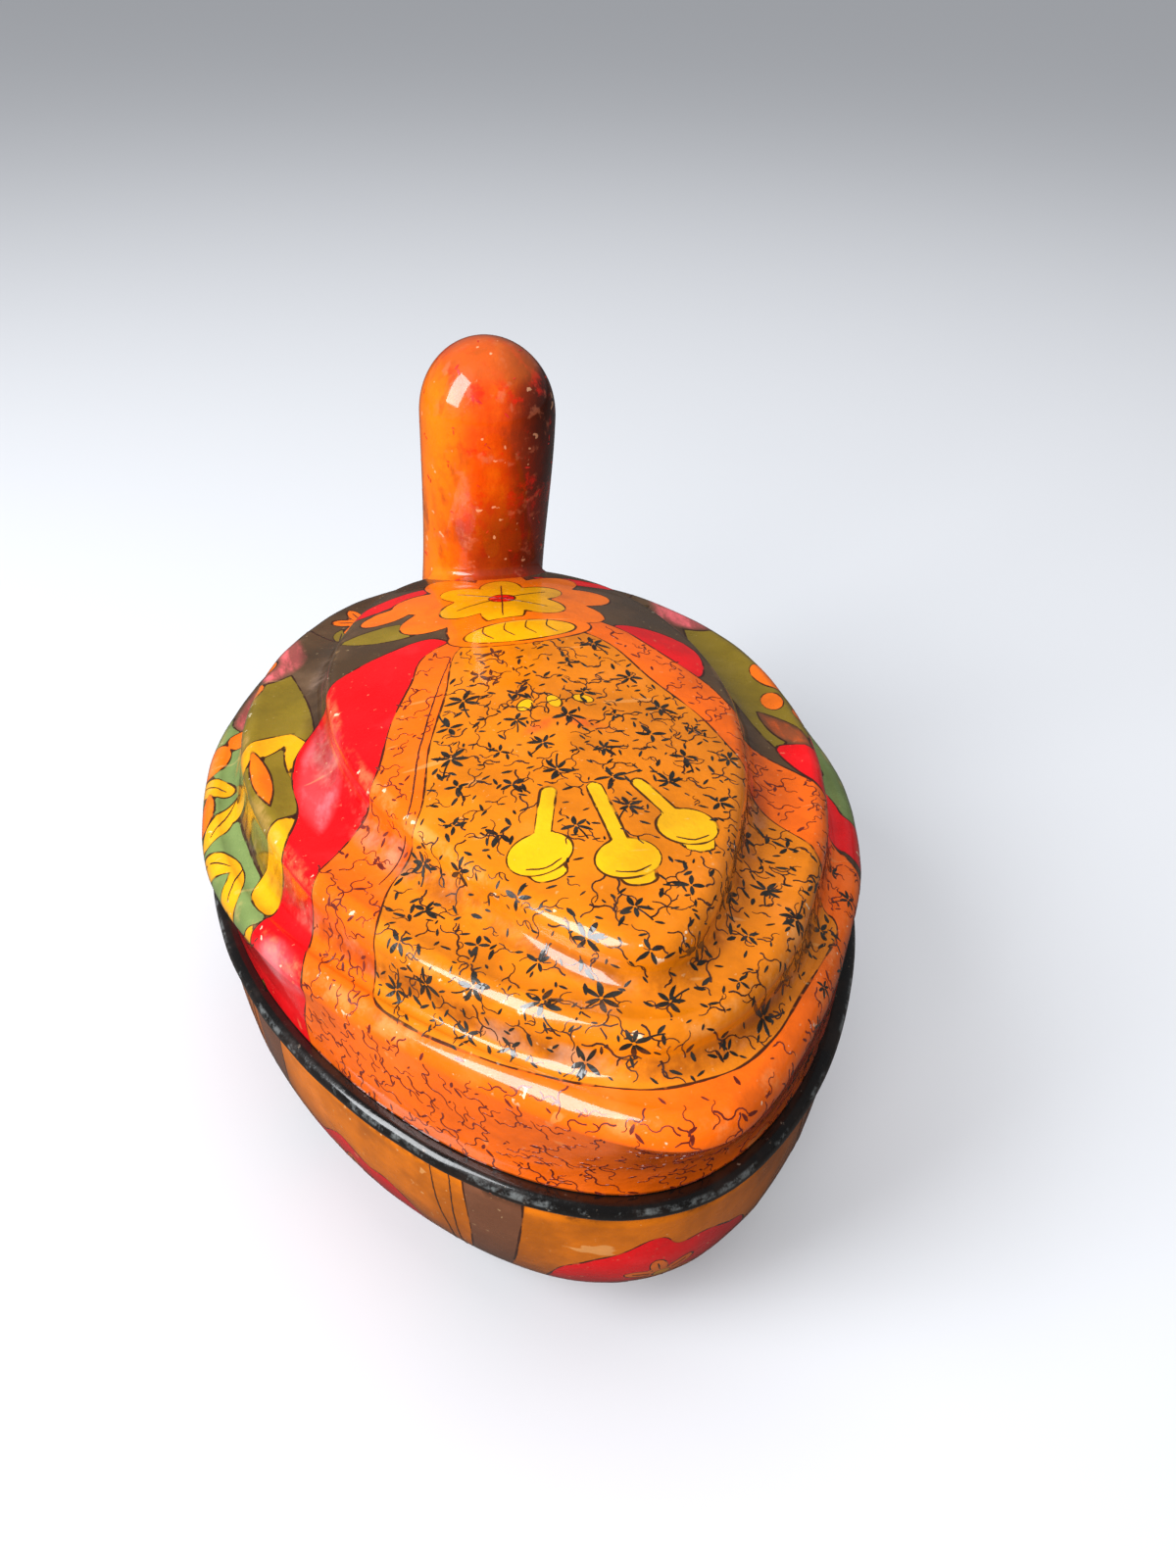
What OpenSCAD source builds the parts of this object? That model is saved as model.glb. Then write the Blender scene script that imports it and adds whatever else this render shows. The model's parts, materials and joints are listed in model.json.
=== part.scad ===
// Lidded papier mache box in the shape of a resting bird, in millimetres.
// The head looks along +Y, the tail points along -Y, and the flat foot stands on z = 0.
// Every outline is an egg with its widest place on the X axis and a soft point at the tail.

/* [Base] */
// Width over the black rim
body_w = 120; // [104:1:136]
// Reach of the rim from the widest place to the breast
rim_front = 76; // [68:1:84]
// Reach of the rim from the widest place to the tail
rim_rear = 87.4; // [80:0.2:95]
// Pointedness of the rim at the tail, 0 for a plain ellipse
rim_point = 0.17; // [0:0.01:0.3]
// Height of the rim's top above the foot
base_h = 42; // [34:1:50]
// Thickness of the bowl's wall and floor
base_wall = 4.6; // [3.6:0.1:6]
// Size of the flat foot as a share of the mouth
foot_share = 0.52; // [0.3:0.01:0.55]
// Fullness of the bowl's side, 2 for an ellipse
bowl_fullness = 2.75; // [2:0.05:2.8]

/* [Rim and collar] */
// Height of the black edging strip
rim_h = 3.4; // [2.6:0.1:4.4]
// How far the edging stands out from the bowl
rim_proud = 1.2; // [0.6:0.1:2]
// Thickness of the collar strip
collar_t = 1.6; // [1.2:0.1:2.4]
// Height of the collar above the rim
collar_up = 7; // [5:0.5:9]
// Depth of the collar below the rim
collar_down = 12; // [8:0.5:15]
// Clearance between the collar and the lid's wall
collar_gap = 0.35; // [0.3:0.05:0.6]
// Clearance between the lid's foot and the rim
seat_gap = 0.2; // [0.1:0.05:0.4]

/* [Lid] */
// Thickness of the lid's shell
lid_wall = 2.8; // [2.2:0.1:2.8]
// Rise of the crown above the upper tier's edge
crown_rise = 5.9; // [4:0.1:8]
// Curve of the tiers' sweep up to the tail and down to the breast
sweep = 1.4; // [1.2:0.05:1.8]
// Hollow of the gutters between the tiers
gutter_dip = 0.8; // [0:0.1:1.2]

/* [Lower tier] */
// Inset of its edge from the rim at each side
lower_side = 1.1; // [0.5:0.1:2]
// Reach of its edge past the rim at the breast
lower_front = 1; // [0:0.1:2]
// Reach of its edge past the rim at the tail
lower_rear = 6.1; // [4:0.1:8]
// Height of its edge above the rim
lower_up = 11.8; // [10:0.1:14]
// Rise of its edge at the tail
lower_rise = 13.5; // [11:0.1:15]
// Drop of its edge at the breast
lower_drop = 0.8; // [0:0.1:2]
// Pointedness of its tail
lower_point = 0.49; // [0.3:0.01:0.55]
// Rounding radius of its edge
lower_edge = 4; // [3:0.1:4.6]

/* [Middle tier] */
// Step in from the lower tier at each side
middle_side = 8.7; // [7.5:0.1:10]
// Step in from the lower tier at the breast
middle_front = 8; // [7:0.1:9]
// Step in from the lower tier at the tail
middle_rear = 10.6; // [9:0.1:12]
// Step up from the lower tier
middle_up = 12.4; // [10.5:0.1:14]
// Rise of its edge at the tail
middle_rise = 7.1; // [6.5:0.1:9]
// Drop of its edge at the breast
middle_drop = 5; // [3.5:0.1:6]
// Pointedness of its tail
middle_point = 0.31; // [0.2:0.01:0.4]
// Rounding radius of its edge
middle_edge = 3.2; // [3.2:0.1:3.6]

/* [Upper tier] */
// Step in from the middle tier at each side
upper_side = 15.6; // [14:0.1:17]
// Step in from the middle tier at the breast
upper_front = 17.3; // [15:0.1:19]
// Step in from the middle tier at the tail
upper_rear = 8.7; // [7.5:0.1:10]
// Step up from the middle tier
upper_up = 8.5; // [7.5:0.1:10]
// Rise of its edge at the tail
upper_rise = 4.8; // [4:0.1:6]
// Drop of its edge at the breast
upper_drop = 3; // [2:0.1:4]
// Pointedness of its tail
upper_point = 0.45; // [0.35:0.01:0.48]
// Rounding radius of its edge
upper_edge = 3.2; // [3.2:0.1:3.6]

/* [Neck and head] */
// Reach of the neck's narrowest ring past the middle tier's front edge
neck_over = 0.6; // [0.4:0.1:1.4]
// Sideways place of the neck's root, on the right as built by hand
neck_side = 2.8; // [0:0.1:3.5]
// Radius of the neck at its narrowest
neck_r = 11.6; // [10.4:0.1:12.6]
// Swelling of the neck's root
root_swell = 3.6; // [1:0.1:4]
// How far the head's middle lies behind the neck's root
head_back = 8; // [5:0.5:10]
// How far the head leans to the right of the neck's root
head_lean = 1.4; // [0:0.1:2]
// Height of the head's widest place above the rim
head_up = 64; // [58:0.5:70]
// Half the head's width
head_half_w = 13.4; // [12.4:0.1:14.6]
// Reach of the head's back from its middle
head_rear = 12.8; // [12:0.1:14]
// Reach of the brow from the head's middle
head_front = 16; // [14:0.1:18]
// Height of the crown of the head above its widest place
head_crown = 14.6; // [13:0.1:16]
// Length of the beak in front of the brow
beak_len = 15; // [11:0.5:18]
// Width of the beak at its root
beak_w = 15; // [12:0.5:17]
// Depth of the beak at its root
beak_h = 11; // [8:0.5:12]
// Width towards the beak's rounded end
beak_tip_w = 10; // [8:0.5:11]
// Depth towards the beak's rounded end
beak_tip_h = 4; // [3:0.2:5]

/* [Neck peg] */
// Diameter of the wooden peg
peg_d = 8; // [6:0.2:9]
// Length of the peg from the start of the neck's rings, inside the lid
peg_top = 50; // [44:0.5:56]
// Glue line round the peg
peg_gap = 0.15; // [0.1:0.05:0.3]
// Thickness of the patch
patch_t = 0.3; // [0.2:0.05:0.4]

/* [Hidden] */

// Points round an egg outline, and round the neck and the beak
around = 48;
neck_around = 32;
beak_around = 16;
// Steps along a wall, a gutter, a rounded edge, the crown and the bowl
wall_steps = 4;
gutter_steps = 6;
edge_steps = 4;
crown_steps = 6;
bowl_steps = 10;
collar_steps = 2;
// Steps up the neck, over the head and along the beak
neck_steps = 14;
cap_steps = 7;
beak_steps = 8;
// The edge's arc turns from upright to nearly level, and the fitted line lies half way
arc_end = 80;
arc_mid = 45;
// The wall leans out late, so that its foot stands upright
wall_flare = 1.5;
// The bore reaches past what it cuts
cut_over = 20;
// The neck meets the lid between these angles, and a seat of that part alone cuts its root
seat_columns = [5, 19];
// The pasted patch covers these columns and rings of the lid's inner face, from this share of its first band
patch_columns = [10, 14];
patch_rings = [9, 12];
patch_start = 0.5;
// The neck's rings start inside the lid, this far above the rim, and the beak's inside the head
neck_start = 6;
beak_sunk = 8;
// Roundness of the beak's end, and its droop
beak_round = 0.4;
beak_droop = 1.5;
eps = 0.01;

rim_z = base_h;
lid_z = base_h + seat_gap;
bowl_top = base_h - rim_h;

// An outline is [half width, front, rear, pointedness, height, rise at the tail, drop at the breast, edge]
RIM = [body_w / 2, rim_front, rim_rear, rim_point, rim_z, 0, 0, 0];
LOWER = [
    RIM[0] - lower_side,
    RIM[1] + lower_front,
    RIM[2] + lower_rear,
    lower_point,
    rim_z + lower_up,
    lower_rise,
    lower_drop,
    lower_edge
];
MIDDLE = [
    LOWER[0] - middle_side,
    LOWER[1] - middle_front,
    LOWER[2] - middle_rear,
    middle_point,
    LOWER[4] + middle_up,
    middle_rise,
    middle_drop,
    middle_edge
];
UPPER = [
    MIDDLE[0] - upper_side,
    MIDDLE[1] - upper_front,
    MIDDLE[2] - upper_rear,
    upper_point,
    MIDDLE[4] + upper_up,
    upper_rise,
    upper_drop,
    upper_edge
];

// Insets from the rim's outer line
bowl_in = rim_proud;
bowl_inner_in = bowl_in + base_wall;
lid_inner_in = bowl_inner_in - collar_gap;
lid_foot_in = lid_inner_in - lid_wall;
collar_inner_in = bowl_inner_in + collar_t;

angles = [for (i = [0 : around - 1]) 360 * i / around];

// Plan point of an outline at angle t, and the outward direction there
function taper(o, t) = sin(t) >= 0 ? 1 : 1 - o[3] + o[3] * pow(cos(t), 2);
function reach(o, t) = sin(t) >= 0 ? o[1] : o[2];
function plan(o, t) = [o[0] * cos(t) * taper(o, t), reach(o, t) * sin(t)];
function slope_x(o, t) = -o[0] * sin(t) * (sin(t) >= 0 ? 1 : 1 - o[3] + 3 * o[3] * pow(cos(t), 2));
function unit(v) = v / norm(v);
function outward(o, t) = unit([reach(o, t) * cos(t), -slope_x(o, t)]);

// Height of an outline's edge: it sweeps up to the tail and down to the breast
function edge_z(o, t) = o[4] + (sin(t) < 0 ? o[5] : -o[6]) * pow(abs(sin(t)), sweep);

// A point set in from an outline and lifted from its edge, or put at a height of its own
function inset(o, t, d) = plan(o, t) - outward(o, t) * d;
function edge_point(o, t, d, up) = concat(inset(o, t, d), edge_z(o, t) + up);
function level_ring(o, d, z) = [for (t = angles) concat(inset(o, t, d), z)];

// A tier's rounded edge, at angle a of its arc
function arc_in(o, a) = o[7] * (cos(arc_mid) - cos(a));
function arc_up(o, a) = o[7] * (sin(a) - sin(arc_mid));
function arc_point(o, t, a) = edge_point(o, t, arc_in(o, a), arc_up(o, a));
function arc_rings(o, last) = [
    for (k = [0 : edge_steps])
        let (a = last * k / edge_steps)
        [for (t = angles) arc_point(o, t, a)]
];

// The wall from the lid's foot to the lower tier
function foot_point(t) = concat(inset(RIM, t, lid_foot_in), lid_z);
function wall_point(t, k) =
    let (a = foot_point(t), b = arc_point(LOWER, t, 0), out = pow(k, wall_flare))
    [a.x + (b.x - a.x) * out, a.y + (b.y - a.y) * out, a.z + (b.z - a.z) * k];
wall_rings = [
    for (k = [0 : wall_steps - 1])
        [for (t = angles) wall_point(t, k / wall_steps)]
];

// The gutter between two tiers: level at the lower one, upright at the upper one, a little hollow
function gutter_point(low, high, t, a) =
    let (p = arc_point(low, t, arc_end), q = arc_point(high, t, 0), along = sin(a), up = 1 - cos(a))
    [p.x + (q.x - p.x) * along, p.y + (q.y - p.y) * along, p.z + (q.z - p.z) * up - gutter_dip * sin(2 * a)];
function gutter_rings(low, high) = [
    for (k = [1 : gutter_steps - 1])
        [for (t = angles) gutter_point(low, high, t, 90 * k / gutter_steps)]
];

// The crown over the upper tier
crown_z = UPPER[4] + crown_rise;
function crown_point(t, u) =
    let (p = arc_point(UPPER, t, arc_end))
    [p.x * u, p.y * u, crown_z + (p.z - crown_z) * u * u];
crown_rings = [
    for (k = [1 : crown_steps - 1])
        [for (t = angles) crown_point(t, 1 - k / crown_steps)]
];
crown_top = [0, 0, crown_z];

outer_rings = concat(
    wall_rings,
    arc_rings(LOWER, arc_end),
    gutter_rings(LOWER, MIDDLE),
    arc_rings(MIDDLE, arc_end),
    gutter_rings(MIDDLE, UPPER),
    arc_rings(UPPER, arc_end),
    crown_rings
);

// Inner face of the lid: the outer face moved in along its own normals, with every second ring
function across(g, i, j) = g[i][(j + 1) % around] - g[i][(j + around - 1) % around];
function upward(g, i, j) = g[i + 1][j] - g[i - 1][j];
function moved_in(g, i, j, d) = g[i][j] - d * unit(cross(across(g, i, j), upward(g, i, j)));
function cavity_rings(d) = concat(
    [level_ring(RIM, lid_foot_in + d, lid_z)],
    [
        for (i = [2 : 2 : len(outer_rings) - 2])
            [for (j = [0 : around - 1]) moved_in(outer_rings, i, j, d)]
    ]
);
function cavity_top(d) = [0, 0, crown_z - d];

// Faces between rings of n points. The first point of the list is the first pole.
function quad(a, b, c, d) = [[a, b, c], [a, c, d]];
// A cell of a grid, from its lower points a and a + 1 to its upper points b and b + 1. The shell's outer
// face is split one way and its inner face the other, and what lies against them is split likewise.
function cell(a, b, inner) = inner ? quad(b, b + 1, a + 1, a) : quad(a, b, b + 1, a + 1);
function band(n, i, k) = [
    for (j = [0 : n - 1])
        let (m = (j + 1) % n)
        each quad(i + j, k + j, k + m, i + m)
];
function flat_list(rings) = [for (r = rings) each r];
function reversed(v) = [for (i = [len(v) - 1 : -1 : 0]) v[i]];

// A solid skinned over rings from one pole to another
module skin(first, rings, last) {
    n = len(rings[0]);
    count = len(rings);
    points = concat([first], flat_list(rings), [last]);
    end = len(points) - 1;
    start_fan = [for (j = [0 : n - 1]) [0, 1 + j, 1 + (j + 1) % n]];
    sides = [for (i = [0 : count - 2]) each band(n, 1 + i * n, 1 + (i + 1) * n)];
    end_fan = [for (j = [0 : n - 1]) [end, end - n + (j + 1) % n, end - n + j]];
    polyhedron(points = points, faces = concat(start_fan, sides, end_fan), convexity = 6);
}

// A closed strip whose section runs through the rings and back to the first
module strip(rings) {
    n = len(rings[0]);
    count = len(rings);
    faces = [for (i = [0 : count - 1]) each band(n, i * n, ((i + 1) % count) * n)];
    polyhedron(points = flat_list(rings), faces = faces, convexity = 6);
}

// The bowl: a superellipse side that rises from the flat foot to the mouth, at angle a from 90 to 0
function bowl_share(a) = foot_share + (1 - foot_share) * pow(cos(a), 2 / bowl_fullness);
function bowl_fall(a) = pow(sin(a), 2 / bowl_fullness);
function bowl_ring(d, floor_z, a, extra = 0) = [
    for (t = angles)
        let (p = inset(RIM, t, d) * bowl_share(a) - outward(RIM, t) * extra)
        [p.x, p.y, bowl_top + (floor_z - bowl_top) * bowl_fall(a)]
];

// The bowl's inner face has a ring where the collar ends
collar_angle = asin(pow((collar_down - rim_h) / (bowl_top - base_wall), bowl_fullness / 2));
outer_angles = [for (k = [bowl_steps : -1 : 0]) 90 * k / bowl_steps];
floor_angles = [for (k = [bowl_steps : -1 : 1]) collar_angle + (90 - collar_angle) * k / bowl_steps];
collar_angles = [for (k = [collar_steps : -1 : 0]) collar_angle * k / collar_steps];
function bowl_face(extra, list) = [for (a = list) bowl_ring(bowl_inner_in, base_wall, a, extra)];

module base_shell() {
    color([0.6, 0.38, 0.12])
        skin(
            [0, 0, 0],
            concat(
                [for (a = outer_angles) bowl_ring(bowl_in, 0, a)],
                reversed(bowl_face(0, concat(floor_angles, collar_angles)))
            ),
            [0, 0, base_wall]
        );
}

// The black edging lies on the bowl's mouth, flush inside and rounded outside
rim_round = rim_h / 2;
module base_rim() {
    color([0.05, 0.05, 0.05])
        strip(concat(
            [
                for (k = [0 : edge_steps * 2])
                    let (a = -90 + 180 * k / (edge_steps * 2))
                    level_ring(RIM, rim_round * (1 - cos(a)), bowl_top + rim_round * (1 + sin(a)))
            ],
            [level_ring(RIM, bowl_inner_in, rim_z), level_ring(RIM, bowl_inner_in, bowl_top)]
        ));
}

// The collar lies against the bowl's inner face and stands upright above it
module inner_collar() {
    color([0.16, 0.09, 0.05])
        strip(concat(
            bowl_face(0, collar_angles),
            [level_ring(RIM, bowl_inner_in, rim_z + collar_up)],
            [level_ring(RIM, collar_inner_in, rim_z + collar_up)],
            reversed(bowl_face(collar_t, collar_angles))
        ));
}

// The part of the lid's form round the neck's root, as a full solid, and of the space at depth d inside it.
// Both keep the very faces of the shell.
function sector(ring) = [for (j = [seat_columns[0] : seat_columns[1]]) ring[j]];
module wedge(rings, top, inner) {
    part = [for (r = rings) sector(r)];
    n = len(part[0]);
    count = len(part);
    floor_mid = [0, 0, lid_z];
    points = concat([floor_mid], flat_list(part), [top]);
    end = len(points) - 1;
    start_fan = [for (j = [0 : n - 2]) [0, 1 + j, 2 + j]];
    sides = [
        for (i = [0 : count - 2])
            for (j = [0 : n - 2])
                let (a = 1 + i * n + j)
                each cell(a, a + n, inner)
    ];
    end_fan = [for (j = [0 : n - 2]) [end, end - n + j + 1, end - n + j]];
    // The two cut faces run through the middle line and lie each in one plane of fans
    left = [for (i = [0 : count - 2]) [0, 1 + (i + 1) * n, 1 + i * n]];
    right = [for (i = [0 : count - 2]) [0, n + i * n, n + (i + 1) * n]];
    polyhedron(
        points = points,
        faces = concat(start_fan, sides, end_fan, left, right, [[0, end, end - n]], [[0, end - 1, end]]),
        convexity = 6
    );
}

// A thin slab between two like grids of points, the first one against the shell's inner face
module slab(a, b) {
    rows = len(a);
    n = len(a[0]);
    points = concat(flat_list(a), flat_list(b));
    far = rows * n;
    top = (rows - 1) * n;
    cells = [for (i = [0 : rows - 2]) for (j = [0 : n - 2]) i * n + j];
    outer_face = [for (c = cells) each cell(c, c + n, true)];
    inner_face = [for (c = cells) each quad(far + c, far + c + 1, far + c + n + 1, far + c + n)];
    low_edge = [for (j = [0 : n - 2]) each quad(j, j + 1, far + j + 1, far + j)];
    high_edge = [for (j = [0 : n - 2]) each quad(top + j, far + top + j, far + top + j + 1, top + j + 1)];
    first_edge = [for (i = [0 : rows - 2]) each quad(i * n, far + i * n, far + (i + 1) * n, (i + 1) * n)];
    last_edge = [
        for (i = [1 : rows - 1])
            each quad(i * n - 1, (i + 1) * n - 1, far + (i + 1) * n - 1, far + i * n - 1)
    ];
    polyhedron(
        points = points,
        faces = concat(outer_face, inner_face, low_edge, high_edge, first_edge, last_edge),
        convexity = 6
    );
}

module lid_seat() {
    wedge(outer_rings, crown_top, false);
}
function patch_face(d) =
    let (rings = cavity_rings(d), low = patch_rings[0])
    [
        for (i = [low : patch_rings[1]])
            let (share = i == low ? patch_start : 0, below = rings[i], above = rings[i + 1])
            [for (j = [patch_columns[0] : patch_columns[1]]) below[j] + (above[j] - below[j]) * share]
    ];
module lid_space(d) {
    wedge(cavity_rings(d), cavity_top(d), true);
}

module lid_shell() {
    color([0.85, 0.42, 0.08])
        difference() {
            skin(cavity_top(lid_wall), concat(reversed(cavity_rings(lid_wall)), outer_rings), crown_top);
            peg_bore();
        }
}

// The neck rises from the breast to the head's widest place, and the head closes over it
head_z = rim_z + head_up;
neck_y = MIDDLE[1] + neck_over - neck_r;
neck_z = rim_z + neck_start;
neck_h = head_z - neck_z;
function ease(k) = k * k * (3 - 2 * k);
function oval(cx, cy, z, side, front, rear) = [
    for (i = [0 : neck_around - 1])
        let (t = 360 * i / neck_around)
        [cx + side * cos(t), cy + (sin(t) >= 0 ? front : rear) * sin(t), z]
];
function neck_ring(k) =
    let (grow = ease(k), swell = root_swell * pow(1 - k, 3))
    oval(
        neck_side + head_lean * k,
        neck_y - head_back * grow,
        neck_z + neck_h * k,
        neck_r + (head_half_w - neck_r) * grow + swell,
        neck_r + (head_front - neck_r) * pow(k, 3) + swell,
        neck_r + (head_rear - neck_r) * grow + swell
    );
function cap_ring(a) =
    oval(
        neck_side + head_lean,
        neck_y - head_back,
        head_z + head_crown * sin(a),
        head_half_w * cos(a),
        head_front * cos(a),
        head_rear * cos(a)
    );
module neck_form() {
    skin(
        [neck_side, neck_y, neck_z],
        concat(
            [for (k = [0 : neck_steps]) neck_ring(k / neck_steps)],
            [for (k = [1 : cap_steps - 1]) cap_ring(90 * k / cap_steps)]
        ),
        [neck_side + head_lean, neck_y - head_back, head_z + head_crown]
    );
}

// The beak is moulded with the head: it narrows, flattens and ends round
beak_y = neck_y - head_back + head_front;
function beak_ring(k) =
    let (
        s = k < 1 - beak_round ? 1 : sqrt(1 - pow((k - 1 + beak_round) / (beak_round + eps), 2)),
        w = (beak_w + (beak_tip_w - beak_w) * k) / 2 * s,
        h = (beak_h + (beak_tip_h - beak_h) * k) / 2 * s
    )
    [
        for (i = [0 : beak_around - 1])
            let (t = 360 * i / beak_around)
            [
                neck_side + head_lean - w * cos(t),
                beak_y - beak_sunk + (beak_sunk + beak_len) * k,
                head_z - beak_droop * k + h * sin(t)
            ]
    ];
module beak_form() {
    skin(
        [neck_side + head_lean, beak_y - beak_sunk, head_z],
        [for (k = [0 : beak_steps]) beak_ring(k / beak_steps)],
        [neck_side + head_lean, beak_y + beak_len + eps, head_z - beak_droop]
    );
}

module neck_and_head() {
    color([0.72, 0.3, 0.06])
        difference() {
            union() {
                neck_form();
                beak_form();
            }
            lid_seat();
            peg_bore();
        }
}

// The peg runs up the neck's own axis
lean_back = atan2(head_back, neck_h);
lean_side = atan2(head_lean, neck_h);
module on_peg_axis() {
    translate([neck_side, neck_y, neck_z])
        rotate([lean_back, lean_side, 0])
            children();
}
module peg_bore() {
    on_peg_axis()
        translate([0, 0, -cut_over])
            cylinder(d = peg_d + 2 * peg_gap, h = peg_top + cut_over + peg_gap, $fn = 48);
}

module neck_peg() {
    color([0.7, 0.53, 0.33])
        difference() {
            on_peg_axis()
                cylinder(d = peg_d, h = peg_top, $fn = 48);
            lid_space(lid_wall);
        }
}

// The pasted patch covers the peg's hole inside the lid
module peg_patch() {
    color([0.2, 0.12, 0.07])
        slab(patch_face(lid_wall), patch_face(lid_wall + patch_t));
}

base_shell();
base_rim();
inner_collar();
lid_shell();
neck_and_head();
neck_peg();
peg_patch();
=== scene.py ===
# Lidded papier mache box in the shape of a resting bird: its fine shapes, painted ornament and lacquer.
import json
import math
import random

import bmesh
import bpy
import numpy as np
from bpy.props import FloatProperty, FloatVectorProperty, IntProperty, PointerProperty
from bpy.types import Operator, Panel, PropertyGroup
from mathutils import Matrix, Vector
from mathutils.bvhtree import BVHTree
from mathutils.geometry import barycentric_transform

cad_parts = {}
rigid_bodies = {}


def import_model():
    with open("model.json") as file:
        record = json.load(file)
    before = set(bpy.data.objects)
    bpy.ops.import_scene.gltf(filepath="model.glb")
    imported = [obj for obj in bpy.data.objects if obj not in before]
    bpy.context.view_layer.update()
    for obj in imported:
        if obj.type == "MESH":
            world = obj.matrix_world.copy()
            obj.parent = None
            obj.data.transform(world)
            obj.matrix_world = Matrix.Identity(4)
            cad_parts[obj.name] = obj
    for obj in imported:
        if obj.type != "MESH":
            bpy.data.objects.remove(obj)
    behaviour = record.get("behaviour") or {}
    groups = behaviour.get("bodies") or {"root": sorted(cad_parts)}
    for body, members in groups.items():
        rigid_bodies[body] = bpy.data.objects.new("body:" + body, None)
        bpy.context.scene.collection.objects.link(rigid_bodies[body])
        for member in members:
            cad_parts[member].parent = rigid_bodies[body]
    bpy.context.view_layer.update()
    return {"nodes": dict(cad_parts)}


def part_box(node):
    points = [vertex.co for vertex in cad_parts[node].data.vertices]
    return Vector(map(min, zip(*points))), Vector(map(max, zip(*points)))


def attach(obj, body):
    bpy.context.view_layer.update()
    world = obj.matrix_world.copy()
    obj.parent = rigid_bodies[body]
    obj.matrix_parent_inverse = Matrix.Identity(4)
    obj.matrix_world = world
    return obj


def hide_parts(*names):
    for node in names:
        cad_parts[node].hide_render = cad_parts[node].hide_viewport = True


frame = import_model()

bl_info = {
    "name": "Bird Box",
    "version": (1, 0, 0),
    "blender": (4, 5, 0),
    "location": "View3D > Sidebar > Bird Box",
    "description": "Builds a painted papier mache box in the shape of a resting bird",
    "category": "Add Mesh",
}

RIM_LOW, RIM_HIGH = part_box("base_rim")
MM = 0.001
FAR = 60.0
AROUND = 360
ARC_END = 80
WALL_FLARE = 1.5
WALL_STEPS = 40
ARC_STEPS = 12
GUTTER_STEPS = 28
CROWN_STEPS = 66
BOWL_STEPS = 64
FLOOR_STEPS = 30
RIM_STEPS = 24
RIM_FLAT_RINGS = 5
COLLAR_STEPS = 8
NECK_AROUND = 192
NECK_STEPS = 60
CAP_STEPS = 40
BEAK_STEPS = 40
LOOP_STEPS = 6
PATH_STEP = 0.8
FULL_TURN = 6.28


def linear(value):
    """A channel of a colour as it is seen, from 0 to 255, turned to the linear value that shaders take"""
    share = value / 255
    return share / 12.92 if value < 11 else ((share + 0.055) / 1.055) ** 2.4


def srgb(red, green, blue):
    """A paint colour as it is seen"""
    return linear(red), linear(green), linear(blue)


def length(name, description, default):
    """A size in metres, given here in millimetres"""
    return FloatProperty(name=name, description=description, default=default * MM, unit="LENGTH", precision=4)


def colour(name, description, red, green, blue):
    """A paint colour"""
    return FloatVectorProperty(
        name=name, description=description, default=srgb(red, green, blue), subtype="COLOR", min=0, max=1)


class BirdBoxForm(PropertyGroup):
    """Sizes of the body, the tiers of the lid and the neck"""

    half_w: length("Half width", "Half the width over the black rim", 60)
    front: length("Breast", "Reach of the rim from the widest place to the breast", 76)
    rear: length("Tail", "Reach of the rim from the widest place to the tail", 87.4)
    wall: length("Bowl wall", "Thickness of the bowl's wall and floor", 4.6)
    rim_h: length("Rim height", "Height of the black edging strip", 3.4)
    rim_proud: length("Rim overhang", "How far the edging stands out from the bowl", 1.2)
    collar_t: length("Collar thickness", "Thickness of the collar strip", 1.6)
    collar_up: length("Collar height", "Height of the collar above the rim", 7)
    collar_down: length("Collar depth", "Depth of the collar below the rim", 12)
    collar_gap: length("Collar gap", "Clearance between the collar and the lid's wall", 0.35)
    seat_gap: length("Seat gap", "Clearance between the lid's foot and the rim", 0.2)
    lid_wall: length("Lid wall", "Thickness of the lid's shell", 2.8)
    crown_rise: length("Crown", "Rise of the crown above the upper tier's edge", 5.9)
    gutter_dip: length("Gutters", "Hollow of the gutters between the tiers", 0.8)
    waver: length("Waver", "How far the hand-laid paper wavers from its true form", 0.22)
    foot_share: FloatProperty(
        name="Foot", description="Size of the flat foot as a share of the mouth", default=0.52)
    fullness: FloatProperty(
        name="Fullness", description="Fullness of the bowl's side, 2 for an ellipse", default=2.75)
    neck_r: length("Neck", "Radius of the neck at its narrowest", 11.6)
    neck_side: length("Neck offset", "Sideways place of the neck's root", 2.8)
    neck_over: length("Neck overhang", "Reach of the neck past the middle tier's front edge", 0.6)
    root_swell: length("Root swell", "Swelling of the neck's root", 3.6)
    fillet: length("Root fillet", "Size of the filler's fillet round the neck's root", 2.4)
    head_up: length("Head height", "Height of the head's widest place above the rim", 64)
    head_half_w: length("Head half width", "Half the head's width", 13.4)
    head_front: length("Brow", "Reach of the brow from the head's middle", 16)
    head_rear: length("Nape", "Reach of the head's back from its middle", 12.8)
    head_crown: length("Head crown", "Height of the head above its widest place", 14.6)
    head_back: length("Head set back", "How far the head's middle lies behind the root", 8)
    head_lean: length("Head lean", "How far the head leans sideways", 1.4)
    beak_len: length("Beak", "Length of the beak in front of the brow", 15)


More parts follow.
